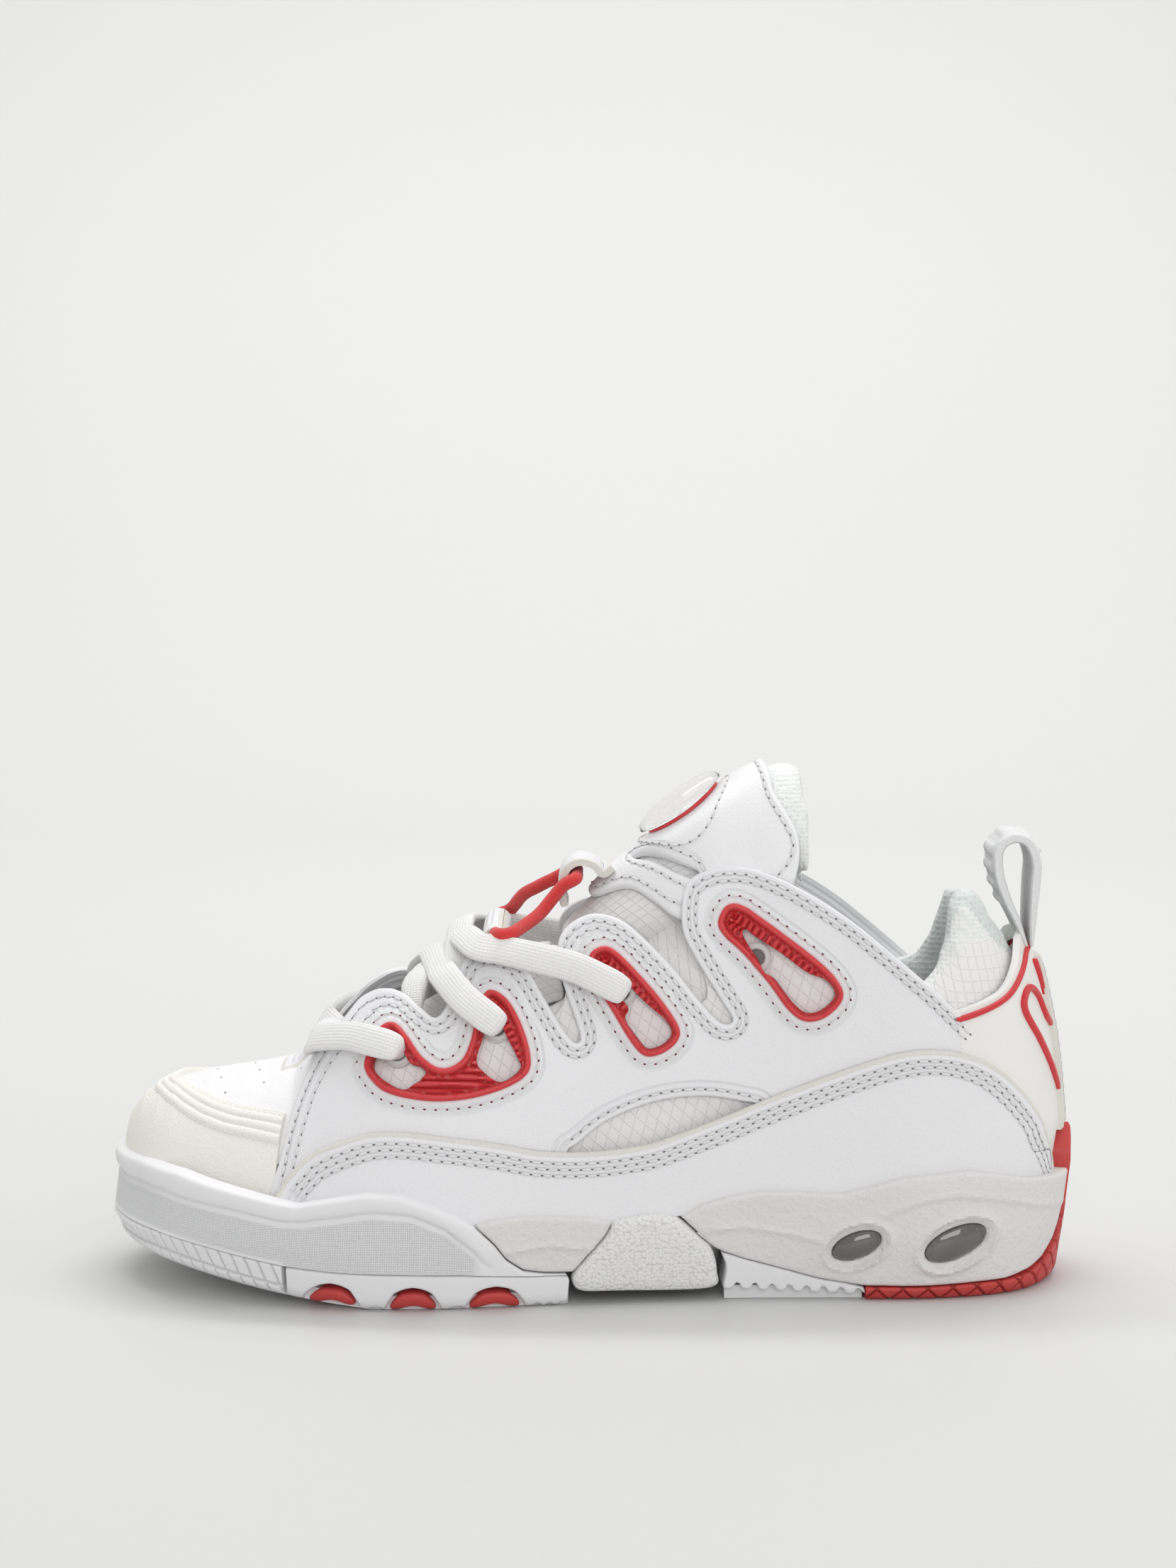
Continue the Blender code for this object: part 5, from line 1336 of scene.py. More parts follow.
def build_eyelets(word, side):
    profile = [(2.6, -1.0), (4.6, -1.0), (4.7, 1.5), (4.3, 1.9), (3.9, 1.7), (3.5, 1.75), (3.0, 1.9), (2.6, 1.5)]
    for number, (x, z) in EYELETS.items():
        centre = side_point(np.array([x]), np.array([z]), side)
        out = skin_normal(centre)[0]
        piece = turned_ring(f"grommet_{word}_{number}", centre[0], out, profile, M["ring"])
        shown(piece, SHOE, RING_SLOT, f"eyelet_{word}_{number}")
        # painted shade: a near-black disc fills each eyelet's hole for the shadow inside it
        hole = turned_ring(f"grommet_hole_shade_{word}_{number}", centre[0], out,
                           [(0.05, 0.5), (2.7, 0.5), (2.7, 0.9), (0.05, 0.9)], M["hole_shade"])
        shown(hole, SHOE, RING_SLOT)


def build_toe_cap():
    """The toe cap with three corded ribs along its upper edge, and its rows of stitches."""
    low, high = LAYER["panel"]
    edge = [(-91.5, -30.4), (-101.5, -25.6), (-108, -22), (-115, -16.6), (-121.6, -9), (-126, -1.5), (-128.4, 6),
            (-126.5, 14.5), (-121.5, 21), (-115, 26.4), (-108, 30.3), (-101.5, 32.8), (-91.5, 35.6)]
    lateral = SKIN_BASE[:SKIN_TAIL + 1]
    medial = SKIN_BASE[SKIN_TAIL:]
    base = np.vstack([lateral[lateral[:, 0] < -93.5][::-1], medial[medial[:, 0] < -93.5][::-1]])
    columns = 260
    base = even(base, 1.0)
    base = np.column_stack([np.interp(np.linspace(0, 1, columns), np.linspace(0, 1, len(base)), base[:, k]) for k in (0, 1)])
    target = spline(edge, columns)
    if np.linalg.norm(base[0] - target[0]) > np.linalg.norm(base[-1] - target[0]):
        target = target[::-1]
    rows = 110
    fractions = np.linspace(0, 1, rows)
    tops, bottoms, uvs = [], [], []
    reach = np.linalg.norm(target - base, axis=1) + 14
    for h in fractions:
        spot = base * 0.999 + (target - base * 0.999) * (h ** 1.6)
        from_edge = (1 - h) * reach
        ribs = 0.85 * np.sqrt(np.clip(1 - (np.abs((from_edge - 1.4) / 2.6 % 1 - 0.5) / 0.5) ** 2, 0, 1))
        ribs = np.where((from_edge > 1.4) & (from_edge < 9.2), ribs, 0.25 * (from_edge <= 1.4))
        height = high - 0.5 + ribs
        height = np.where(h > 0.995, low + 0.3, height)
        tops.append(crown_point(spot[:, 0], spot[:, 1], height))
        bottoms.append(crown_point(spot[:, 0], spot[:, 1], np.full(columns, low - 0.2)))
        uvs.append(np.column_stack([np.arange(columns) * 1.0, np.full(columns, h * 60)]))
    top, bottom = np.vstack(tops), np.vstack(bottoms)
    piece = closed_shell("toe_cap_shell", top, bottom, grid_faces(rows, columns), M["cap"], np.vstack(uvs),
                         {"edge": np.full(len(top), 20.0)}, 50)
    shown(piece, SHOE, "warm_leather", "toe_cap")
    for wanted in (1.2, 3.9, 6.5, 9.2):
        h = np.clip(1 - wanted / reach, 0, 1)
        spot = base * 0.999 + (target - base * 0.999) * (h ** 1.6)[:, None]
        path = crown_point(spot[:, 0], spot[:, 1], np.full(columns, high - 0.35))
        sew_path("cap_seam", path, skin_normal(path), pitch=2.6, length=2.2, radius=0.32)


def build_vamp():
    low, high = LAYER["vamp"]
    xs = np.linspace(-132, -80, 60)
    turn = np.linspace(0.14, 0.86, 120)
    rows = []
    for offset in (high, low):
        layer = []
        for x in xs:
            across, up = -np.cos(np.pi * turn), np.sin(np.pi * turn)
            lateral, medial = skin_edge(x, -1), skin_edge(x, 1)
            centre, half = (lateral + medial) / 2, (medial - lateral) / 2
            y = centre + half * np.sign(across) * np.abs(across) ** (2 / WALL_POWER)
            foot, top = level(FEATHER, x), level(CROWN, x)
            z = foot + (top - foot) * up ** (2 / CROWN_POWER)
            layer.append(lifted(np.full(len(turn), x), y, z, np.full(len(turn), offset)))
        rows.append(np.vstack(layer))
    piece = closed_shell("vamp_panel", rows[0], rows[1], grid_faces(len(xs), len(turn)), M["vamp"],
                         marks={"edge": np.full(len(rows[0]), 20.0)})
    shown(piece, SHOE, "white_leather", "vamp", "lining_toe")
    # painted shade: near-black capsules sunk under the vamp stand for the shadow in its perforations; the leather is
    # not cut through
    holes = []
    for row, y in enumerate((-15.5, -5.5, 5.5, 15.5, 25.5)):
        for x in (-117, -105, -93):
            shift = 2.5 * abs(row - 2)
            spot = crown_point(np.array([x + shift]), np.array([y]), np.array([high]))
            out = skin_normal(spot)[0]
            holes.append(capsule(spot[0] - out * 0.5 - np.array((0.5, 0, 0)), spot[0] - out * 0.5 + np.array((0.5, 0, 0)),
                                 out, 0.85, 0.8, 10))
    shown(joined("vamp_perforation_shade", holes, M["hole_shade"]), SHOE, "white_leather")


def around_heel(start, count=160):
    """Runs from the lateral side at a station, round the heel, to the medial side."""
    first = run_at(start, -1, SKIN_LINE, SKIN_RUN, SKIN_TAIL)
    last = run_at(start, 1, SKIN_LINE, SKIN_RUN, SKIN_TAIL) + SKIN_RUN[-1]
    return np.linspace(first, last, count)


def heel_band(name, s, low, high, offsets, rows, mat, slot, nodes=(), radius=0.6):
    """A closed band round the heel between two heights, with a rounded upper edge."""
    stack, under, uvs, edges = [], [], [], []
    span = high - low
    for t in np.linspace(0, 1, rows):
        z = low + span * t
        edge = np.minimum((1 - t) * span, (s - s[0]))
        edge = np.minimum(edge, s[-1] - s)
        stack.append(upper_point(s, z, rounded(edge, offsets[1], radius)))
        under.append(upper_point(s, z, np.full(len(s), offsets[0])))
        uvs.append(np.column_stack([s, z]))
        edges.append(edge)
    piece = closed_shell(name, np.vstack(stack), np.vstack(under), grid_faces(rows, len(s)), mat, np.vstack(uvs),
                         {"edge": np.concatenate(edges)}, 50)
    return shown(piece, SHOE, slot, *nodes)


COUNTER_TOP = spline([(113, 85), (122.7, 87.8), (130, 91.2), (135.5, 96.5), (139.5, 101.5), (143, 104)], 40)


def station(s):
    return np.interp(np.mod(s, SKIN_RUN[-1]), SKIN_RUN, SKIN_BASE[:, 0])


def tube(name, path, radius, mat, sides=12, uv_scale=1.0):
    """A round bar along a path."""
    path = np.asarray(path, float)
    ahead = np.gradient(path, axis=0)
    ahead /= np.linalg.norm(ahead, axis=1)[:, None]
    up = np.array((0.1, 0.2, 1.0))
    points, uvs = [], []
    run = np.concatenate([[0], np.cumsum(np.linalg.norm(np.diff(path, axis=0), axis=1))])
    for k in range(len(path)):
        across = np.cross(ahead[k], up)
        across /= np.linalg.norm(across)
        lift = np.cross(across, ahead[k])
        for j in range(sides):
            a = 2 * math.pi * j / sides
            points.append(path[k] + (across * math.cos(a) + lift * math.sin(a)) * radius)
            uvs.append((run[k], 2 * math.pi * radius * min(j, sides - j) / sides * uv_scale))
    faces = grid_faces(len(path), sides, wrap=True)
    faces += [list(range(sides)), list(range(len(points) - 1, len(points) - sides - 1, -1))]
    return add_mesh(name, np.array(points), faces, mat, np.array(uvs))


def build_heel():
    """Counter, its piping and lip, and a plain red trim on the back."""
    s = around_heel(112)
    top = level(COUNTER_TOP, station(s))
    low = level(FEATHER, station(s)) + 1
    heel_band("counter_shell", s, low, top, LAYER["panel"], 40, M["counter"], "warm_leather", ("heel_counter", "lining_heel"))
    path = upper_point(s, top + 0.6, np.full(len(s), 2.5))
    shown(tube("counter_piping", path, 0.95, M["red"]), SHOE, "red_tpu")
    lip_top = top + 3.4 + 2.5 * np.clip((station(s) - 128) / 12, 0, 1)
    heel_band("counter_lip", s, top + 1.3, lip_top, (0.2, 2.2), 8, M["counter"], "warm_leather")
    middle = SKIN_RUN[SKIN_TAIL]

    def back(points):
        points = np.asarray(points, float)
        return points + np.array((middle, 0))

    def raised(name, line, holes=()):
        flat, faces, edge = flat_fill(back(line), 0.9, [back(h) for h in holes], edge_steps=(0.3, 0.8), edge_spacing=0.8)
        return closed_shell(name, upper_point(flat[:, 0], flat[:, 1], rounded(edge, 4.3, 0.7)),
                            upper_point(flat[:, 0], flat[:, 1], np.full(len(flat), 2.6)), faces, M["red"], flat,
                            {"edge": edge}, 50)

    half = [(0, 79.5), (8, 82.5), (13, 90), (18.5, 93.6), (23.5, 91.5), (25, 85.5), (17, 73), (8, 61.5), (0, 56.5)]
    frame_line = smooth(half + [(-u, v) for u, v in half[-2:0:-1]], 0.8, True)
    shown(raised("heel_frame", frame_line, [grown(frame_line, -2.0)]), SHOE, "red_tpu", "heel_trim")
    for name, mirror in (("lateral", -1), ("medial", 1)):
        blade = [(9.8, 99.6), (8.6, 96), (7.0, 91.5), (6.4, 88), (6.2, 92), (6.6, 96.5), (8.0, 99.8)]
        shown(raised(f"heel_blade_{name}", smooth([(u * mirror, v) for u, v in blade], 0.7, True)), SHOE, "red_tpu")


def build_back_strip():
    """The leather strip down the middle of the back, under the pull loop."""
    across, heights = np.meshgrid(np.linspace(-6, 6, 25), np.linspace(46, 101, 90), indexing="ij")
    y, z = across.ravel(), heights.ravel()
    edge = np.minimum(6 - np.abs(y), np.minimum(z - 46, 101 - z))
    back = SKIN_HEEL - lean(SKIN_HEEL, z) - y ** 2 / 46
    top = np.column_stack([back + rounded(edge, 4.9, 0.6), y, z])
    under = np.column_stack([back + 1.6, y, z])
    piece = closed_shell("back_strip", top, under, grid_faces(25, 90), M["mudguard"], np.column_stack([y, z]),
                         {"edge": edge}, 50)
    shown(piece, SHOE, "white_leather")
    for mirror in (-1, 1):
        rows = np.linspace(48, 99, 60)
        x = SKIN_HEEL - lean(SKIN_HEEL, rows) - 4.2 ** 2 / 46 + 5.0
        path = np.column_stack([x, np.full(60, 4.2 * mirror), rows])
        sew_path("seam", path, np.tile((1.0, 0.0, 0.0), (60, 1)))


def build_seams():
    """Every row of stitches, one piece per thread, with blobs of painted shade in its stitch holes."""
    looks = {"seam": ("thread", "hole_shade", "lace", SHOE), "seam_red": ("thread", "red_hole_shade", "lace", SHOE),
             "cap_seam": ("cap", "hole_shade", "warm_leather", SHOE), "tongue_seam": ("thread", "hole_shade", "lace", TONGUE_BODY),
             "pull_seam": ("thread", "hole_shade", "lace", PULL_BODY)}
    for group, (threads, holes) in THREADS.items():
        thread_mat, hole_shade_mat, slot, body = looks[group]
        shown(joined(f"{group}_thread", threads, M[thread_mat]), body, slot)
        if group != "cap_seam":
            shown(joined(f"{group}_needle_hole_shades", holes, M[hole_shade_mat]), body, slot)


def build_upper():
    for word, side in (("lateral", -1), ("medial", 1)):
        build_ripstop(word, side)
        build_quarter(word, side)
        build_mudguard(word, side)
        build_cages(word, side)
        build_eyelets(word, side)
    build_toe_cap()
    build_vamp()
    build_heel()
    build_back_strip()


# ------------------------------------------------------------------ padding and lining
LINING_TOP = [(-94, 60), (-86, 62), (-80, 68), (-72, 78), (-64, 84.5), (-56, 84), (-50, 80), (-44, 80), (-38, 92),
              (-30, 98.5), (-22, 95.5), (-14, 86), (-8, 80), (-2, 78), (-4, 104), (2, 110), (9, 109), (20, 100),
              (30, 90), (40, 83), (40, 96), (33, 110), (32, 118), (36, 124), (44, 126.5), (56, 125), (70, 117),
              (84, 105), (96, 95), (108, 84)]
COLLAR_TOP = [(76, 113.5), (84, 107), (93, 100), (98, 97.5), (104, 98.5), (109, 103), (114, 110), (118, 117.5),
              (121.5, 122), (125, 125), (130, 127), (135, 127), (138.5, 125.5), (141, 121), (143, 112)]


def build_lining(word, side):
    outline = outline_of(LINING_TOP + [(112, 60), (80, 40), (20, 33), (-40, 34), (-90, 40)])
    piece = upper_panel(f"lining_{word}_panel", outline, side, -2.7, -1.0, M["light_mesh"], spacing=4.0,
                        fine=2.2)
    shown(piece, SHOE, "mesh", f"lining_{word}")


def build_inside():
    s = around_heel(74, 120)
    heel_band("lining_heel_panel", s, level(FEATHER, station(s)) + 0.5, np.full(len(s), 78.0), (-2.7, -1.0), 20,
              M["mesh"], "mesh")
    for name, low, high, inset, mat, slot, node in (
            ("board", 29.2, 30.6, 1.0, M["foam"], "foam", "insole_board"),
            ("footbed", 31.0, 35.4, 3.4, M["footbed"], "mesh", "sockliner")):
        xs = np.linspace(SKIN_TOE + 6, SKIN_HEEL - 4, 90)
        across = np.linspace(-1, 1, 25)
        top, under, flat = [], [], []
        for x in xs:
            lateral, medial = skin_edge(x, -1) + inset, skin_edge(x, 1) - inset
            y = (lateral + medial) / 2 + (medial - lateral) / 2 * across * 0.94
            rise = np.interp(x, [-140, -60, 20, 90, 150], [-3.0, -4.5, 0.0, 3.5, 5.0])
            cup = (2.6 if name == "footbed" else 0.0) * np.abs(across) ** 3
            top.append(np.column_stack([np.full(25, x), y, high + rise + cup - 0.8 * (np.abs(across) > 0.97)]))
            under.append(np.column_stack([np.full(25, x), y, np.full(25, low + rise)]))
            flat.append(np.column_stack([np.full(25, x), y]))
        piece = closed_shell(f"{name}_plate", np.vstack(top), np.vstack(under), grid_faces(len(xs), 25), mat,
                             np.vstack(flat), angle=50)
        shown(piece, SHOE, slot, node)


def puffed(piece, pressure, limit, voxel=3.4):
    """Swells a closed form as sewn fabric over soft filling, then smooths it once."""
    remesh = piece.modifiers.new("even", "REMESH")
    remesh.mode = "VOXEL"
    remesh.voxel_size = voxel * MM
    apply_modifiers(piece)
    before = read_points(piece)
    cloth = piece.modifiers.new("filling", "CLOTH")
    cloth.settings.use_pressure = True
    cloth.settings.uniform_pressure_force = pressure
    cloth.settings.effector_weights.gravity = 0
    cloth.settings.tension_stiffness = 12
    cloth.settings.compression_stiffness = 12
    cloth.settings.bending_stiffness = 0.35
    cloth.settings.mass = 0.2
    cloth.point_cache.frame_start = 1
    cloth.point_cache.frame_end = 20
    for frame_number in range(1, 21):
        bpy.context.scene.frame_set(frame_number)
    apply_modifiers(piece)
    bpy.context.scene.frame_set(1)
    after = read_points(piece)
    move = after - before
    far = np.linalg.norm(move, axis=1)
    scale = np.minimum(1, limit * MM / np.maximum(far, 1e-9))
    write_points(piece, before + move * scale[:, None])
    finer = piece.modifiers.new("finer", "SUBSURF")
    finer.levels = 1
    apply_modifiers(piece)
    piece.data.shade_smooth()
    return piece


def apply_modifiers(piece):
    graph = bpy.context.evaluated_depsgraph_get()
    mesh = bpy.data.meshes.new_from_object(piece.evaluated_get(graph))
    old = piece.data
    piece.modifiers.clear()
    piece.data = mesh
    bpy.data.meshes.remove(old)


def read_points(piece):
    flat = np.zeros(len(piece.data.vertices) * 3)
    piece.data.vertices.foreach_get("co", flat)
    return flat.reshape(-1, 3)


def write_points(piece, points):
    piece.data.vertices.foreach_set("co", points.ravel())
    piece.data.update()


def give_places(piece, uvs):
    """Puts flat mm coordinates on a remeshed piece."""
    mesh = piece.data
    layer = mesh.uv_layers.new(name="mm")
    corner = np.zeros(len(mesh.loops), np.int32)
    mesh.loops.foreach_get("vertex_index", corner)
    layer.data.foreach_set("uv", np.asarray(uvs, np.float32)[corner].ravel())


def build_collar():
    """The padded roll round the back of the opening, mesh inside and smooth cloth outside."""
    s = around_heel(77, 90)
    x = station(s)
    across = np.interp(np.mod(s, SKIN_RUN[-1]), SKIN_RUN, SKIN_BASE[:, 1])
    medial_drop = 4.5 * np.clip(across / 15, 0, 1) * np.clip((x - 104) / 10, 0, 1)
    top = level(COLLAR_TOP, x) - medial_drop - 0.7
    top = np.where(np.abs(across) < 11.5, np.minimum(top, 104), top)
    top = np.convolve(np.pad(top, 2, mode="edge"), np.ones(5) / 5, mode="valid")
    low = 77.0
    half = low + (top - low) * 0.5
    thin = np.clip((x - 77) / 12, 0.45, 1)
    section = [(low, -1.2), (low, -5.0), (half, -9.6), (top - 6, -10.0), (top - 2, -8.4), (top - 0.4, -5.6),
               (top - 1.4, -3.0), (top - 5, -1.2), (half, -1.0)]
    ring = [upper_point(s, np.broadcast_to(z, s.shape).astype(float), offset * thin) for z, offset in section]
    points = np.stack(ring, axis=1).reshape(-1, 3)
    n = len(section)
    faces = grid_faces(len(s), n, wrap=True)
    faces += [list(range(n)), list(range(len(points) - 1, len(points) - n - 1, -1))]
    pad = add_mesh("collar_padding", points, faces, M["light_mesh"])
    puffed(pad, 5.0, 2.2)
    spots = read_points(pad) / MM - SHIFT
    away, place = nearest(spots[:, :2], SKIN_BASE[:, :2], closed=False)
    give_places(pad, np.column_stack([place, spots[:, 2] - away]))
    pad.data.materials.append(M["mesh"])
    centres = np.zeros(len(pad.data.polygons) * 3)
    pad.data.polygons.foreach_get("center", centres)
    centres = centres.reshape(-1, 3) / MM - SHIFT
    depth = nearest(centres[:, :2], SKIN_BASE[:, :2], closed=False)[0]
    pad.data.materials.append(M["ripstop_fine"])
    around = nearest(centres[:, :2], SKIN_BASE[:, :2], closed=False)[1]
    height = np.interp(station(around), x[:len(x) // 2], top[:len(x) // 2]) - centres[:, 2]
    kind = np.where(depth > 7.6, 1, np.where(depth + 0.25 * (5 - height) > 4.2, 0, 2))
    pad.data.polygons.foreach_set("material_index", kind.astype(np.int32))
    shown(pad, SHOE, "mesh", "collar_pad")


# ------------------------------------------------------------------ tongue
TONGUE = [
    (-84, 61, 14, 4, -5), (-74, 70, 18, 4, -8), (-60, 81, 21, 5, -11), (-45, 90, 24, 6, -14), (-30, 98, 25, 7, -16),
    (-16, 105.5, 24, 8, -17), (-8, 112, 23.5, 9, -17), (2, 121, 23, 9, -19), (14, 132, 23, 9, -22),
    (29, 142.8, 23.5, 8, -24), (44, 153.6, 24.5, 7, -29), (53, 159.4, 25, 6, -32), (60, 161.8, 25, 4, -34),
    (66, 160.5, 25, 3, -35), (70.5, 155.5, 25, 1.5, -34),
]
TONGUE_LINE = spline(TONGUE, 600)
SLOPE, ACROSS_SLOPE = np.array((0.8, 0.6)), np.array((-0.6, 0.8))


def tongue_point(along, across, offset=0.0):
    """Points of the tongue: along its centre line, across from -1 to 1, moved off its outer face."""
    def bare(k, c):
        row = np.stack([np.interp(k, np.linspace(0, len(TONGUE) - 1, 600), TONGUE_LINE[:, j]) for j in range(5)], axis=1)
        centre = (skin_edge(row[:, 0], -1) + skin_edge(row[:, 0], 1)) / 2
        drop = np.abs(c) ** 2.3
        return np.column_stack([row[:, 0] + row[:, 3] * drop, centre + c * row[:, 2] * (1 - 0.06 * np.abs(c) ** 4),
                                row[:, 1] + row[:, 4] * drop])

    k, c, offset = np.broadcast_arrays(np.asarray(along, float), across, offset)
    k, c, offset = k.ravel().astype(float), c.ravel().astype(float), offset.ravel().astype(float)
    one = bare(np.minimum(k + 0.05, len(TONGUE) - 1), c) - bare(np.maximum(k - 0.05, 0), c)
    two = bare(k, c + 0.02) - bare(k, c - 0.02)
    out = np.cross(one, two)
    out /= np.linalg.norm(out, axis=1)[:, None]
    return bare(k, c) + out * offset[:, None]


def tongue_grid(first, last, rows, width, columns):
    k, c = np.meshgrid(np.linspace(first, last, rows), np.linspace(-width, width, columns), indexing="ij")
    return k.ravel(), c.ravel()


def tongue_length(k):
    line = TONGUE_LINE[:, :2]
    run = np.concatenate([[0], np.cumsum(np.linalg.norm(np.diff(line, axis=0), axis=1))])
    return np.interp(k, np.linspace(0, len(TONGUE) - 1, 600), run)


def tongue_cushion(name, first, last, width, thick, mat):
    """A padded part of the tongue: crowned, with its edges rounded over."""
    rows, columns = 60, 34
    k, c = tongue_grid(first, last, rows, width, columns)
    along = np.abs((k - first) / (last - first) * 2 - 1)
    edge = np.sqrt(np.clip((1 - along ** 10) * (1 - np.abs(c / width) ** 8), 0.002, 1))
    depth = np.interp(k, [0, 5, 8, 10, 12, 14], [5.5, 6.5, 9.0, 15.5, 22.0, 19.0]) / 10 * thick
    middle = -0.5 * depth
    top = tongue_point(k, c, middle + 0.5 * depth * edge - 0.3)
    under = tongue_point(k, c, middle - 0.5 * depth * edge - 0.3)
    piece = closed_shell(name, top, under, grid_faces(rows, columns), mat, angle=60)
    puffed(piece, 4.0, 1.6, 3.6)
    spots = read_points(piece) / MM - SHIFT
    run, rise = spots[:, [0, 2]] @ SLOPE, spots[:, [0, 2]] @ ACROSS_SLOPE
    below = np.interp(run, TONGUE_LINE[:, :2] @ SLOPE, TONGUE_LINE[:, :2] @ ACROSS_SLOPE) - rise
    give_places(piece, np.column_stack([run, spots[:, 1] + np.sign(spots[:, 1]) * below]))
    return piece


def on_tongue(name, k, c, faces, low, high, mat, marks=None):
    flat = np.column_stack([tongue_length(k), c * 24])
    return closed_shell(name, tongue_point(k, c, high), tongue_point(k, c, low), faces, mat, flat, marks, 50)


def tongue_place(points):
    """Where on the tongue's outer side face side-view points (x, z) lie, as (run, across)."""
    k, c = tongue_grid(5.4, 13.8, 300, 1.08, 161)
    k, c = k[c <= 0], c[c <= 0]
    spots = tongue_point(k, c, np.full(len(k), 1.5))[:, (0, 2)]
    pick = [int(np.argmin(np.linalg.norm(spots - p, axis=1))) for p in np.asarray(points, float)]
    return np.column_stack([tongue_length(k[pick]), c[pick] * 24])


def tongue_station(run):
    k = np.linspace(0, len(TONGUE) - 1, 600)
    return np.interp(run, tongue_length(k), k)


LENS_AT, LENS_LONG, LENS_WIDE = 9.16, 15.2, 12.6


def lens_rise(flat):
    """How far the leather is filled out round the lens, so that it lies nearly flat under it."""
    away = np.hypot((flat[:, 0] - tongue_length(LENS_AT)) / LENS_LONG, flat[:, 1] / LENS_WIDE)
    drop = 24 * np.abs(flat[:, 1] / 24) ** 2.3
    return np.minimum(drop, 4.6) * 0.85 * np.clip((2.0 - away) / 0.9, 0, 1) ** 1.5


def overlay_height(flat, edge):
    return rounded(edge, 2.0, 0.7) + 0.9 * np.sqrt(np.clip(edge / 9, 0, 1)) + lens_rise(flat)


def sew_overlay(loop, inset):
    ring = grown(loop, inset)
    ring = even(np.vstack([ring, ring[:1]]), 0.8)
    height = overlay_height(ring, np.full(len(ring), abs(inset))) + 0.12
    k, c = tongue_station(ring[:, 0]), ring[:, 1] / 24
    path = tongue_point(k, c, height)
    above = tongue_point(k, c, height + 1)
    sew_path("tongue_seam", path, above - path)


def build_overlay():
    """The leather over the top and sides of the tongue, with slots that show the cloth below."""
    low_edge = [(11.9, 124.1), (19.6, 120.5), (27.8, 115.2), (40, 113), (50, 115), (58, 119.5)]
    rear_edge = [(62.0, 124.7), (63.4, 129.2), (64.4, 134.1), (64.3, 138.5), (63.3, 142.9), (61.0, 147.0), (57, 153.0)]
    side_edge = tongue_place(low_edge + rear_edge)
    front = [(tongue_length(6.95), 0.0), (tongue_length(7.0), -7.0)]
    back = [(tongue_length(11.35), -9.0), (tongue_length(11.25), 0.0)]
    near = front + [tuple(q) for q in side_edge] + back
    outline = smooth(near + [(u, -v) for u, v in near[-2:0:-1]], 1.0, True)
    slot = tongue_place([(13.5, 132.4), (17.0, 133.8), (22.5, 133.4), (28.5, 131.6), (34.6, 128.9), (33.0, 127.0),
                         (27.0, 128.9), (20.0, 131.0), (15.5, 131.7)])
    slots = [smooth(slot, 0.8, True), smooth(slot * (1, -1), 0.8, True)]
    flat, faces, edge = flat_fill(outline, 1.5, slots, edge_spacing=0.9)
    piece = on_tongue("tongue_leather", tongue_station(flat[:, 0]), flat[:, 1] / 24, faces, 0.3,
                      overlay_height(flat, edge), M["overlay"], {"edge": edge})
    shown(piece, TONGUE_BODY, "white_leather", "tongue_overlay")
    sew_overlay(outline, -2.2)
    for line in slots:
        sew_overlay(line, 1.7)


def build_lens():
    """A clear flat-based dome with a plain red disc under it and a ring of stitches round it."""
    k = np.array([LENS_AT - 0.05, LENS_AT, LENS_AT + 0.05])
    spots = tongue_point(k, np.zeros(3), np.full(3, 2.5))
    along = (spots[2] - spots[0]) / np.linalg.norm(spots[2] - spots[0])
    across = np.array((0.0, 1.0, 0.0))
    out = np.cross(along, across)
    rings, spokes = 20, 60

    def plate(name, reach, low, high, mat):
        layers = []
        share = np.repeat((np.arange(rings + 1) + 0.02) / (rings + 0.02), spokes)
        a = np.tile(np.arange(spokes) * 2 * math.pi / spokes, rings + 1)
        u, v = np.cos(a) * LENS_LONG * reach * share, np.sin(a) * LENS_WIDE * reach * share
        for height in (high(share), np.full(len(share), low)):
            bowed = height - 0.010 * v ** 2
            layers.append(spots[1] + np.outer(u, along) + np.outer(v, across) + np.outer(bowed, out))
        faces = grid_faces(rings + 1, spokes, wrap=True) + [list(range(spokes))[::-1]]
        return closed_shell(name, layers[0], layers[1], faces, mat, np.column_stack([u, v]), angle=50)

    disc = plate("lens_disc", 0.86, 0.6, lambda r: 2.1 - 0.4 * (np.abs(r - 0.80) < 0.05), M["red"])
    shown(disc, TONGUE_BODY, "red_tpu", "tongue_badge")
    dome = plate("lens_dome", 1.0, 2.3, lambda r: 2.7 + 4.4 * np.sqrt(np.clip(1 - r ** 2.6, 0, 1)), M["clear"])
    shown(dome, TONGUE_BODY, "clear", "tongue_lens")
    a = np.linspace(0, 2 * math.pi, 130)
    flat = np.column_stack([tongue_length(LENS_AT) + np.cos(a) * (LENS_LONG + 2.0), np.sin(a) * (LENS_WIDE + 2.4)])
    height = overlay_height(flat, np.full(len(a), 9.0)) + 0.12
    path = tongue_point(tongue_station(flat[:, 0]), flat[:, 1] / 24, height)
    above = tongue_point(tongue_station(flat[:, 0]), flat[:, 1] / 24, height + 1)
    sew_path("tongue_seam", path, above - path)


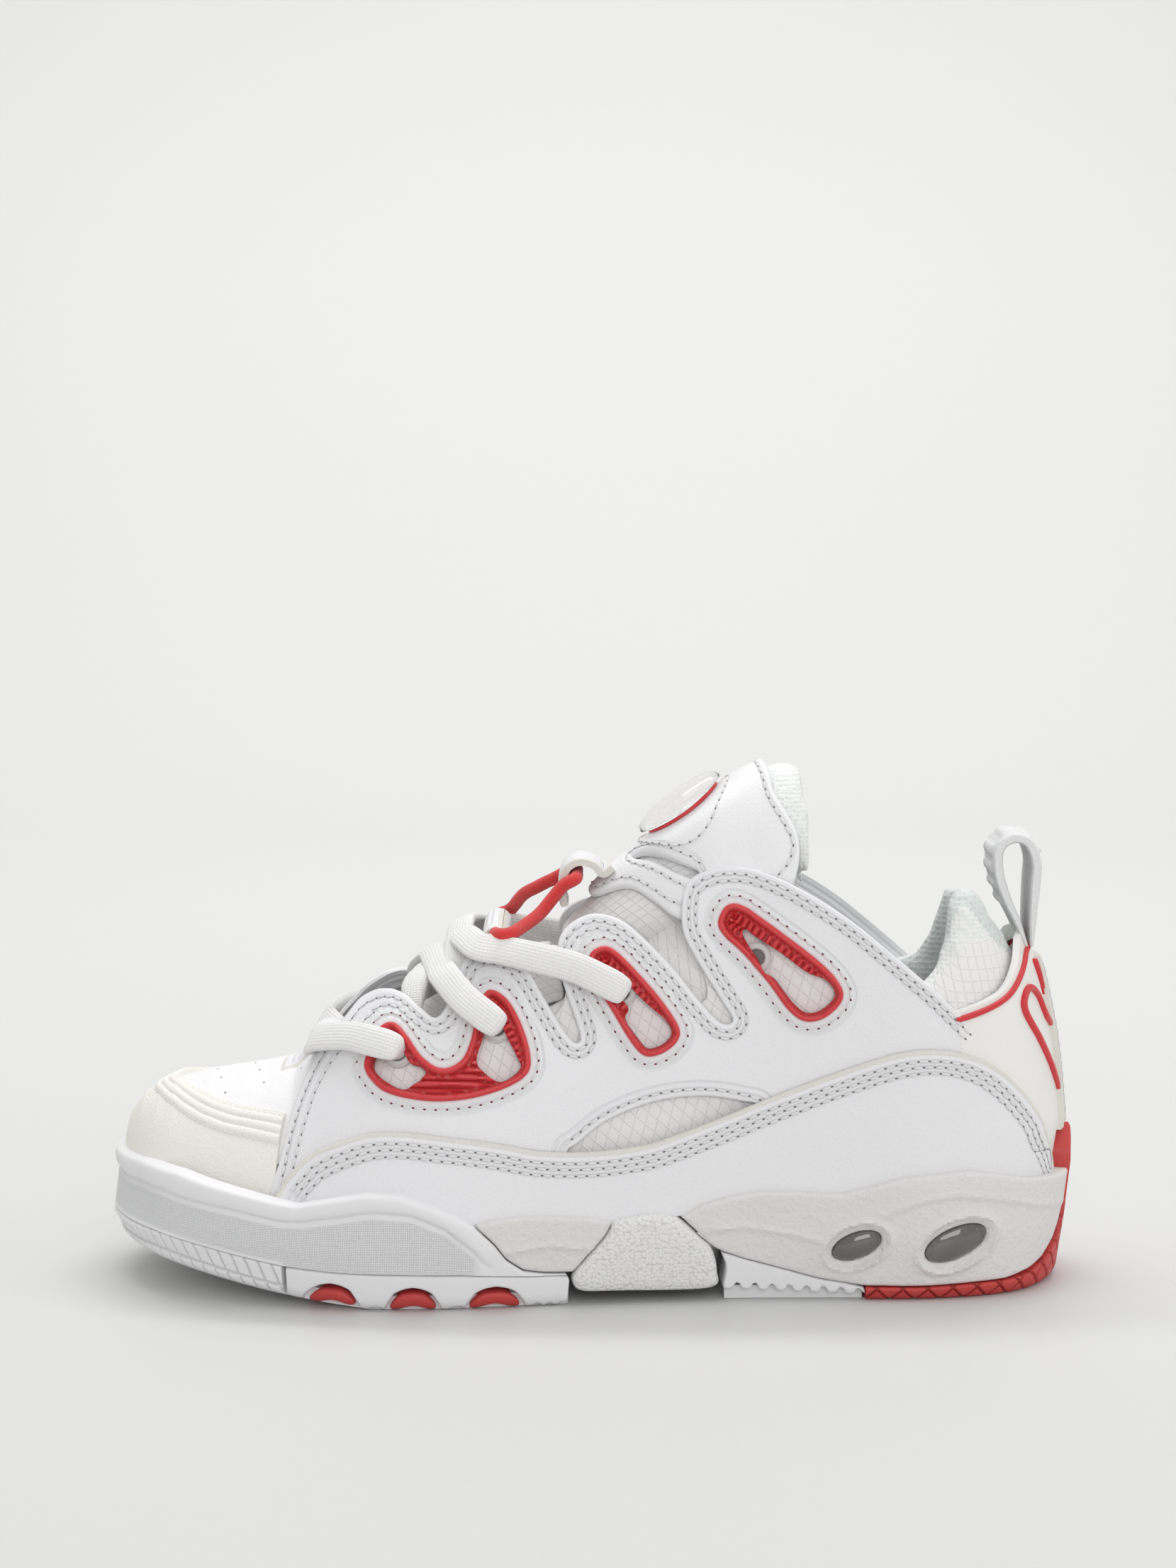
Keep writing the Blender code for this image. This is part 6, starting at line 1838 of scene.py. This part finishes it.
def build_tongue():
    base = tongue_cushion("tongue_lower", 0.2, 5.35, 1.0, 8.0, M["ripstop_fine"])
    shown(base, SHOE, "mesh", "tongue_base")
    pad = tongue_cushion("tongue_padding", 5.5, 14.0, 1.0, 12.5, M["ripstop_fine"])
    pad.data.materials.append(M["light_mesh"])
    centres = np.zeros(len(pad.data.polygons) * 3)
    pad.data.polygons.foreach_get("center", centres)
    centres = centres.reshape(-1, 3) / MM - SHIFT
    rear = centres[:, 0] + 0.25 * (centres[:, 2] - 140) > 44
    pad.data.polygons.foreach_set("material_index", rear.astype(np.int32))
    shown(pad, TONGUE_BODY, "mesh", "tongue_pad")
    build_overlay()
    build_lens()


def strip(name, path, width, thick, mat, centre=0.0, bow=0.0, steps=19):
    """A leather strip that follows a side-view path, as wide as given across the shoe."""
    path = even(spline(path, 160), 0.7)
    ahead = np.gradient(path, axis=0)
    ahead /= np.linalg.norm(ahead, axis=1)[:, None]
    out = np.column_stack([-ahead[:, 1], ahead[:, 0]])
    share = np.linspace(-1, 1, steps)
    top, under, flat, edges = [], [], [], []
    run = np.concatenate([[0], np.cumsum(np.linalg.norm(np.diff(path, axis=0), axis=1))])
    for c in share:
        y = np.full(len(path), centre + c * width / 2)
        sag = -bow * c ** 2
        edge = np.minimum((1 - abs(c)) * width / 2, np.minimum(run, run[-1] - run))
        up = path + out * (rounded(edge, thick / 2, 0.4))[:, None]
        down = path - out * (thick / 2)
        top.append(np.column_stack([up[:, 0], y, up[:, 1] + sag]))
        under.append(np.column_stack([down[:, 0], y, down[:, 1] + sag]))
        flat.append(np.column_stack([run, y]))
        edges.append(edge)
    return closed_shell(name, np.vstack(top), np.vstack(under), grid_faces(steps, len(path)), mat, np.vstack(flat),
                        {"edge": np.concatenate(edges)}, 50)


def build_keepers():
    arch = [(-95.5, 66.6), (-92.5, 67.1), (-89.6, 68.4), (-87.4, 71.3), (-86.9, 74.6), (-84.8, 77.7), (-81, 79.0), (-77, 78),
            (-74.6, 75), (-74.4, 71.6)]
    front = strip("front_lace_loop", arch, 21.5, 1.5, M["mudguard"], bow=1.0)
    shown(front, SHOE, "white_leather", "keeper_front")
    angles = np.linspace(math.radians(60), math.radians(418), 26)
    ring = [(-28.2 + 3.5 * math.cos(a), 110.6 + 3.5 * math.sin(a)) for a in angles]
    middle = strip("rolled_lace_loop", ring, 41, 1.3, M["mudguard"], centre=-3, bow=2.2)
    shown(middle, SHOE, "white_leather", "keeper_middle")
    arch = [(-7.2, 117.5), (-8.0, 121), (-7.9, 125.6), (-6.2, 129.6), (-2.6, 131.4), (1.8, 130.3), (4.6, 127.6), (7.5, 129.6)]
    top = strip("tongue_lace_loop", arch, 21, 2.4, M["mudguard"], centre=-3)
    shown(top, TONGUE_BODY, "white_leather", "tongue_keeper")


# ------------------------------------------------------------------ laces
def steady_frames(path, wanted):
    """Side and out directions along a path, turned as little as the wanted out directions allow."""
    ahead = np.gradient(path, axis=0)
    ahead /= np.linalg.norm(ahead, axis=1)[:, None]
    side = np.cross(ahead, wanted)
    size = np.linalg.norm(side, axis=1)
    good = size > 0.45
    for k in np.flatnonzero(good)[1:]:
        before = np.flatnonzero(good[:k])[-1]
        if np.dot(side[k], side[before]) < 0:
            side[k] = -side[k]
    index = np.arange(len(path))
    side = np.stack([np.interp(index, index[good], side[good, j]) for j in range(3)], axis=1)
    for _ in range(3):
        for _ in range(4):
            side[1:-1] = (side[:-2] + 2 * side[1:-1] + side[2:]) / 4
        side -= ahead * (side * ahead).sum(axis=1)[:, None]
        side /= np.linalg.norm(side, axis=1)[:, None]
    return side, np.cross(side, ahead)


def woven_band(name, path, widths, thicks, wanted, mat, sides=20):
    """A plump flat braid along a path."""
    side, out = steady_frames(path, wanted)
    run = np.concatenate([[0], np.cumsum(np.linalg.norm(np.diff(path, axis=0), axis=1))])
    points, uvs = [], []
    for j in range(sides):
        a = 2 * math.pi * j / sides
        ca, sa = math.cos(a), math.sin(a)
        wide = np.sign(ca) * abs(ca) ** 0.75 * widths / 2
        tall = np.sign(sa) * abs(sa) ** 0.85 * thicks / 2
        points.append(path + side * wide[:, None] + out * tall[:, None])
        uvs.append(np.column_stack([run, wide + (0.3 if sa > 0 else -0.3) * thicks]))
    points = np.stack(points, axis=1).reshape(-1, 3)
    uvs = np.stack(uvs, axis=1).reshape(-1, 2)
    faces = grid_faces(len(path), sides, wrap=True)
    faces += [list(range(sides)), list(range(len(points) - 1, len(points) - sides - 1, -1))]
    return add_mesh(name, points, faces, mat, uvs, angle=80)


def lace_half(side, over):
    """The lace from the front loop to its tail, crossing the tongue twice; side is where it starts."""
    def on_wall(x, z, sign, offset):
        return tuple(side_point(np.array([x]), np.array([z]), sign, offset)[0])

    def through(number, sign):
        x, z = EYELETS[number]
        return [on_wall(x, z, sign, height) for height in (7.4, 3.6, -0.5, -4.6)]

    def across(x, y, z, sign):
        centre = (skin_edge(x, -1) + skin_edge(x, 1)) / 2
        return (x, centre + sign * y, z)

    near, far = side, -side
    route = [(-80.5, 6 * near, 74), (-80.4, 12.5 * near, 74.4), on_wall(-80.4, 73.5, near, 5.2)]
    route += [on_wall(-76, 75.5, near, 6.6), on_wall(-69, 76.5, near, 7.4), on_wall(-62, 76.2, near, 8.4)]
    route += through("1", near) + [on_wall(-55.8, 80, near, -5.4), on_wall(-54.6, 86, near, -3.0)]
    route += [across(-53, 17, 94.5, near), across(-50.5, 8, 98 + over, near)]
    route += [across(-48.5, 0, 99 + 2 * over, near)]
    route += [across(-47, 9, 100 + over, far), across(-45, 19, 99.5, far)]
    route += [on_wall(-42, 94.8, far, 7), on_wall(-37, 89.6, far, 7.8), on_wall(-32, 86, far, 8.4)]
    route += through("2", far) + [on_wall(-30, 86.5, far, -5.4), on_wall(-35, 92, far, -3.0)]
    route += [across(-39.5, 18, 100.5, far), across(-40, 9, 105.0 + over, far)]
    route += [across(-39.5, 0, 107.5 + 2 * over, far)]
    route += [across(-38.5, 9, 108.5 + over, near), across(-36.5, 18, 108.6, near), across(-33, 25, 107.4, near)]
    route += [on_wall(-25, 102.8, near, 6.2), on_wall(-15, 101.8, near, 6.6), on_wall(-4, 99.8, near, 7.2)]
    route += [on_wall(5, 96.3, near, 8.2)] + through("3", near)
    route += [on_wall(11.5, 90, near, -6), on_wall(14, 80, near, -6.6), on_wall(16, 70, near, -6.8)]
    return route


def build_laces():
    route = np.array(lace_half(-1, 0.0)[::-1] + lace_half(1, 1.6))
    path = even(spline(route, 2400), 0.9)
    eyelets = [side_point(np.array([x]), np.array([z]), side)[0] for x, z in list(EYELETS.values())[:3] for side in (-1, 1)]
    gap = np.min([np.linalg.norm(path - e, axis=1) for e in eyelets], axis=0)
    inside = solid_value(path[:, 0], path[:, 1], path[:, 2]) < -0.05
    free = np.clip((gap - 2.5) / 5.5, 0, 1) ** 0.8
    free = np.where(inside & (gap < 24), np.minimum(free, 0.35), free)
    free = np.convolve(np.pad(free, 4, mode="edge"), np.ones(9) / 9, mode="valid")
    widths, thicks = 4.6 + 4.9 * free, 3.7 - 0.4 * free
    wanted = skin_normal(path)
    for _ in range(8):
        wanted[1:-1] = (wanted[:-2] + 2 * wanted[1:-1] + wanted[2:]) / 4
    lace = woven_band("flat_lace", path, widths, thicks, wanted, M["lace"])
    shown(lace, SHOE, "lace", "shoelace")


def build_elastic():
    half = [(-28.2, 0, 110.6), (-28.2, 20, 110.6), (-27, 24.3, 110.8), (-23.6, 24.6, 111.2), (-20, 21, 112.8),
            (-15, 16.5, 116), (-11, 14.3, 120.5), (-7.6, 13.2, 124.4), (-4.6, 12.4, 126), (-3.6, 10, 126.6), (-3.6, 0, 126.8)]
    route = half[:-1] + [(x, -y, z) for x, y, z in half[::-1]][:-1]
    line = spline(route, 600, closed=True)
    spread = np.clip(line[:, 1] / 9, 0, 1) * np.sin(np.pi * np.clip((line[:, 0] + 27.5) / 22, 0, 1)) ** 2
    line = line + spread[:, None] * np.array((-2.6, 0, 3.6))
    path = even(line + np.array((0, -3.0, 0)), 0.8, True)
    ahead = np.roll(path, -1, axis=0) - np.roll(path, 1, axis=0)
    ahead /= np.linalg.norm(ahead, axis=1)[:, None]
    up = np.array((-0.5, 0, 1.0))
    across = np.cross(ahead, up)
    across /= np.linalg.norm(across, axis=1)[:, None]
    lift = np.cross(across, ahead)
    sides = 16
    run = np.arange(len(path)) * 0.8
    points, uvs = [], []
    for j in range(sides):
        a = 2 * math.pi * j / sides
        points.append(path + (across * math.cos(a) + lift * math.sin(a)) * 2.05)
        uvs.append(np.column_stack([run, np.full(len(path), min(j, sides - j) * 0.8)]))
    points = np.stack(points, axis=1).reshape(-1, 3)
    uvs = np.stack(uvs, axis=1).reshape(-1, 2)
    n = len(path)
    i, j = np.meshgrid(np.arange(n), np.arange(sides), indexing="ij")
    k, m = (i + 1) % n, (j + 1) % sides
    faces = np.stack([i * sides + j, i * sides + m, k * sides + m, k * sides + j], axis=-1).reshape(-1, 4).tolist()
    cord = add_mesh("elastic_ring", points, faces, M["elastic"], uvs, angle=80)
    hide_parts("elastic_loop")
    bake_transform(cord)


PULL_LINE = [
    (135.9, 104.6), (133.1, 112), (129.8, 119), (127.3, 126.4), (126.7, 132.4), (127.5, 135.6), (129.6, 137.6),
    (132.6, 138.4), (135.7, 137.3), (137.7, 134.4), (138.8, 129.8), (138.5, 125), (137.9, 115.5), (137.5, 104.6),
]


def build_pull_loop():
    path = even(spline(PULL_LINE, 300), 0.5)
    ahead = np.gradient(path, axis=0)
    ahead /= np.linalg.norm(ahead, axis=1)[:, None]
    out = np.column_stack([-ahead[:, 1], ahead[:, 0]])
    run = np.concatenate([[0], np.cumsum(np.linalg.norm(np.diff(path, axis=0), axis=1))])
    steps = 35
    share = np.linspace(-1, 1, steps)
    thick = np.interp(path[:, 1], [104, 108, 112, 124], [1.1, 1.5, 2.1, 3.0])
    bar = np.clip(1 - (np.abs((run / 5.2 + 0.5) % 1 - 0.5) / 0.3) ** 4, 0, 1)
    bar *= (run > 12) & (run < run[-1] * 0.62)
    top, under, flat, edges = [], [], [], []
    for c in share:
        edge = np.full(len(path), (1 - abs(c)) * 11)
        raised = 0.9 * bar * np.clip((0.78 - abs(c)) * 14, 0, 1)
        y = np.full(len(path), c * 11.0)
        high = path + out * (rounded(edge, thick / 2, 0.5) + raised)[:, None]
        low = path - out * (rounded(edge, thick / 2, 0.5))[:, None]
        top.append(np.column_stack([high[:, 0], y, high[:, 1]]))
        under.append(np.column_stack([low[:, 0], y, low[:, 1]]))
        flat.append(np.column_stack([run, y]))
        edges.append(edge)
    loop = closed_shell("heel_loop_band", np.vstack(top), np.vstack(under), grid_faces(steps, len(path)), M["webbing"],
                        np.vstack(flat), {"edge": np.concatenate(edges)}, 50)
    shown(loop, PULL_BODY, "white_leather", "pull_loop")


def build_gusset(word, side):
    """The thin cloth between the tongue's edge and the lining, seen between the lace lobes."""
    count = 90
    k = np.linspace(0.6, 9.8, count)
    high = tongue_point(k, np.full(count, 0.94 * side), np.interp(k, [5, 6, 9.8], [-2.5, -5.0, -6.0]))
    valley = [(-84, 64), (-70, 72), (-45, 78), (-20, 78), (-3, 76), (20, 78), (42, 80), (60, 84)]
    bx = high[:, 0]
    low = side_point(bx, level(valley, bx), side, np.full(count, -2.0))
    rows = []
    for t in np.linspace(0, 1, 14):
        mix = high * (1 - t) + low * t
        mix = mix + np.array((0, side * 1.0, 0.8)) * (3.0 * math.sin(math.pi * t))
        rows.append(mix)
    top = np.vstack(rows)
    under = top + np.array((0, -side * 0.5, -0.5))
    flat = np.column_stack([top[:, 0], top[:, 2] + np.repeat(np.linspace(0, 18, 14), count)])
    piece = closed_shell(f"gusset_{word}", top, under, grid_faces(14, count), M["ripstop_fine"], flat, angle=60)
    shown(piece, SHOE, "mesh")


def build_soft_parts():
    build_inside()
    for word, side in (("lateral", -1), ("medial", 1)):
        build_lining(word, side)
        build_gusset(word, side)
    build_collar()
    build_tongue()
    build_keepers()
    build_laces()
    build_elastic()
    build_pull_loop()


def build_gel():
    """The clear gel that fills the midsole behind each window."""
    for name in ("gel_cell_front", "gel_cell_rear"):
        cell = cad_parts[name]
        cell.data.materials.clear()
        cell.data.materials.append(M["gel"])


build_camera()
build_stage()
build_sole()
build_gel()
build_upper()
build_soft_parts()
build_seams()
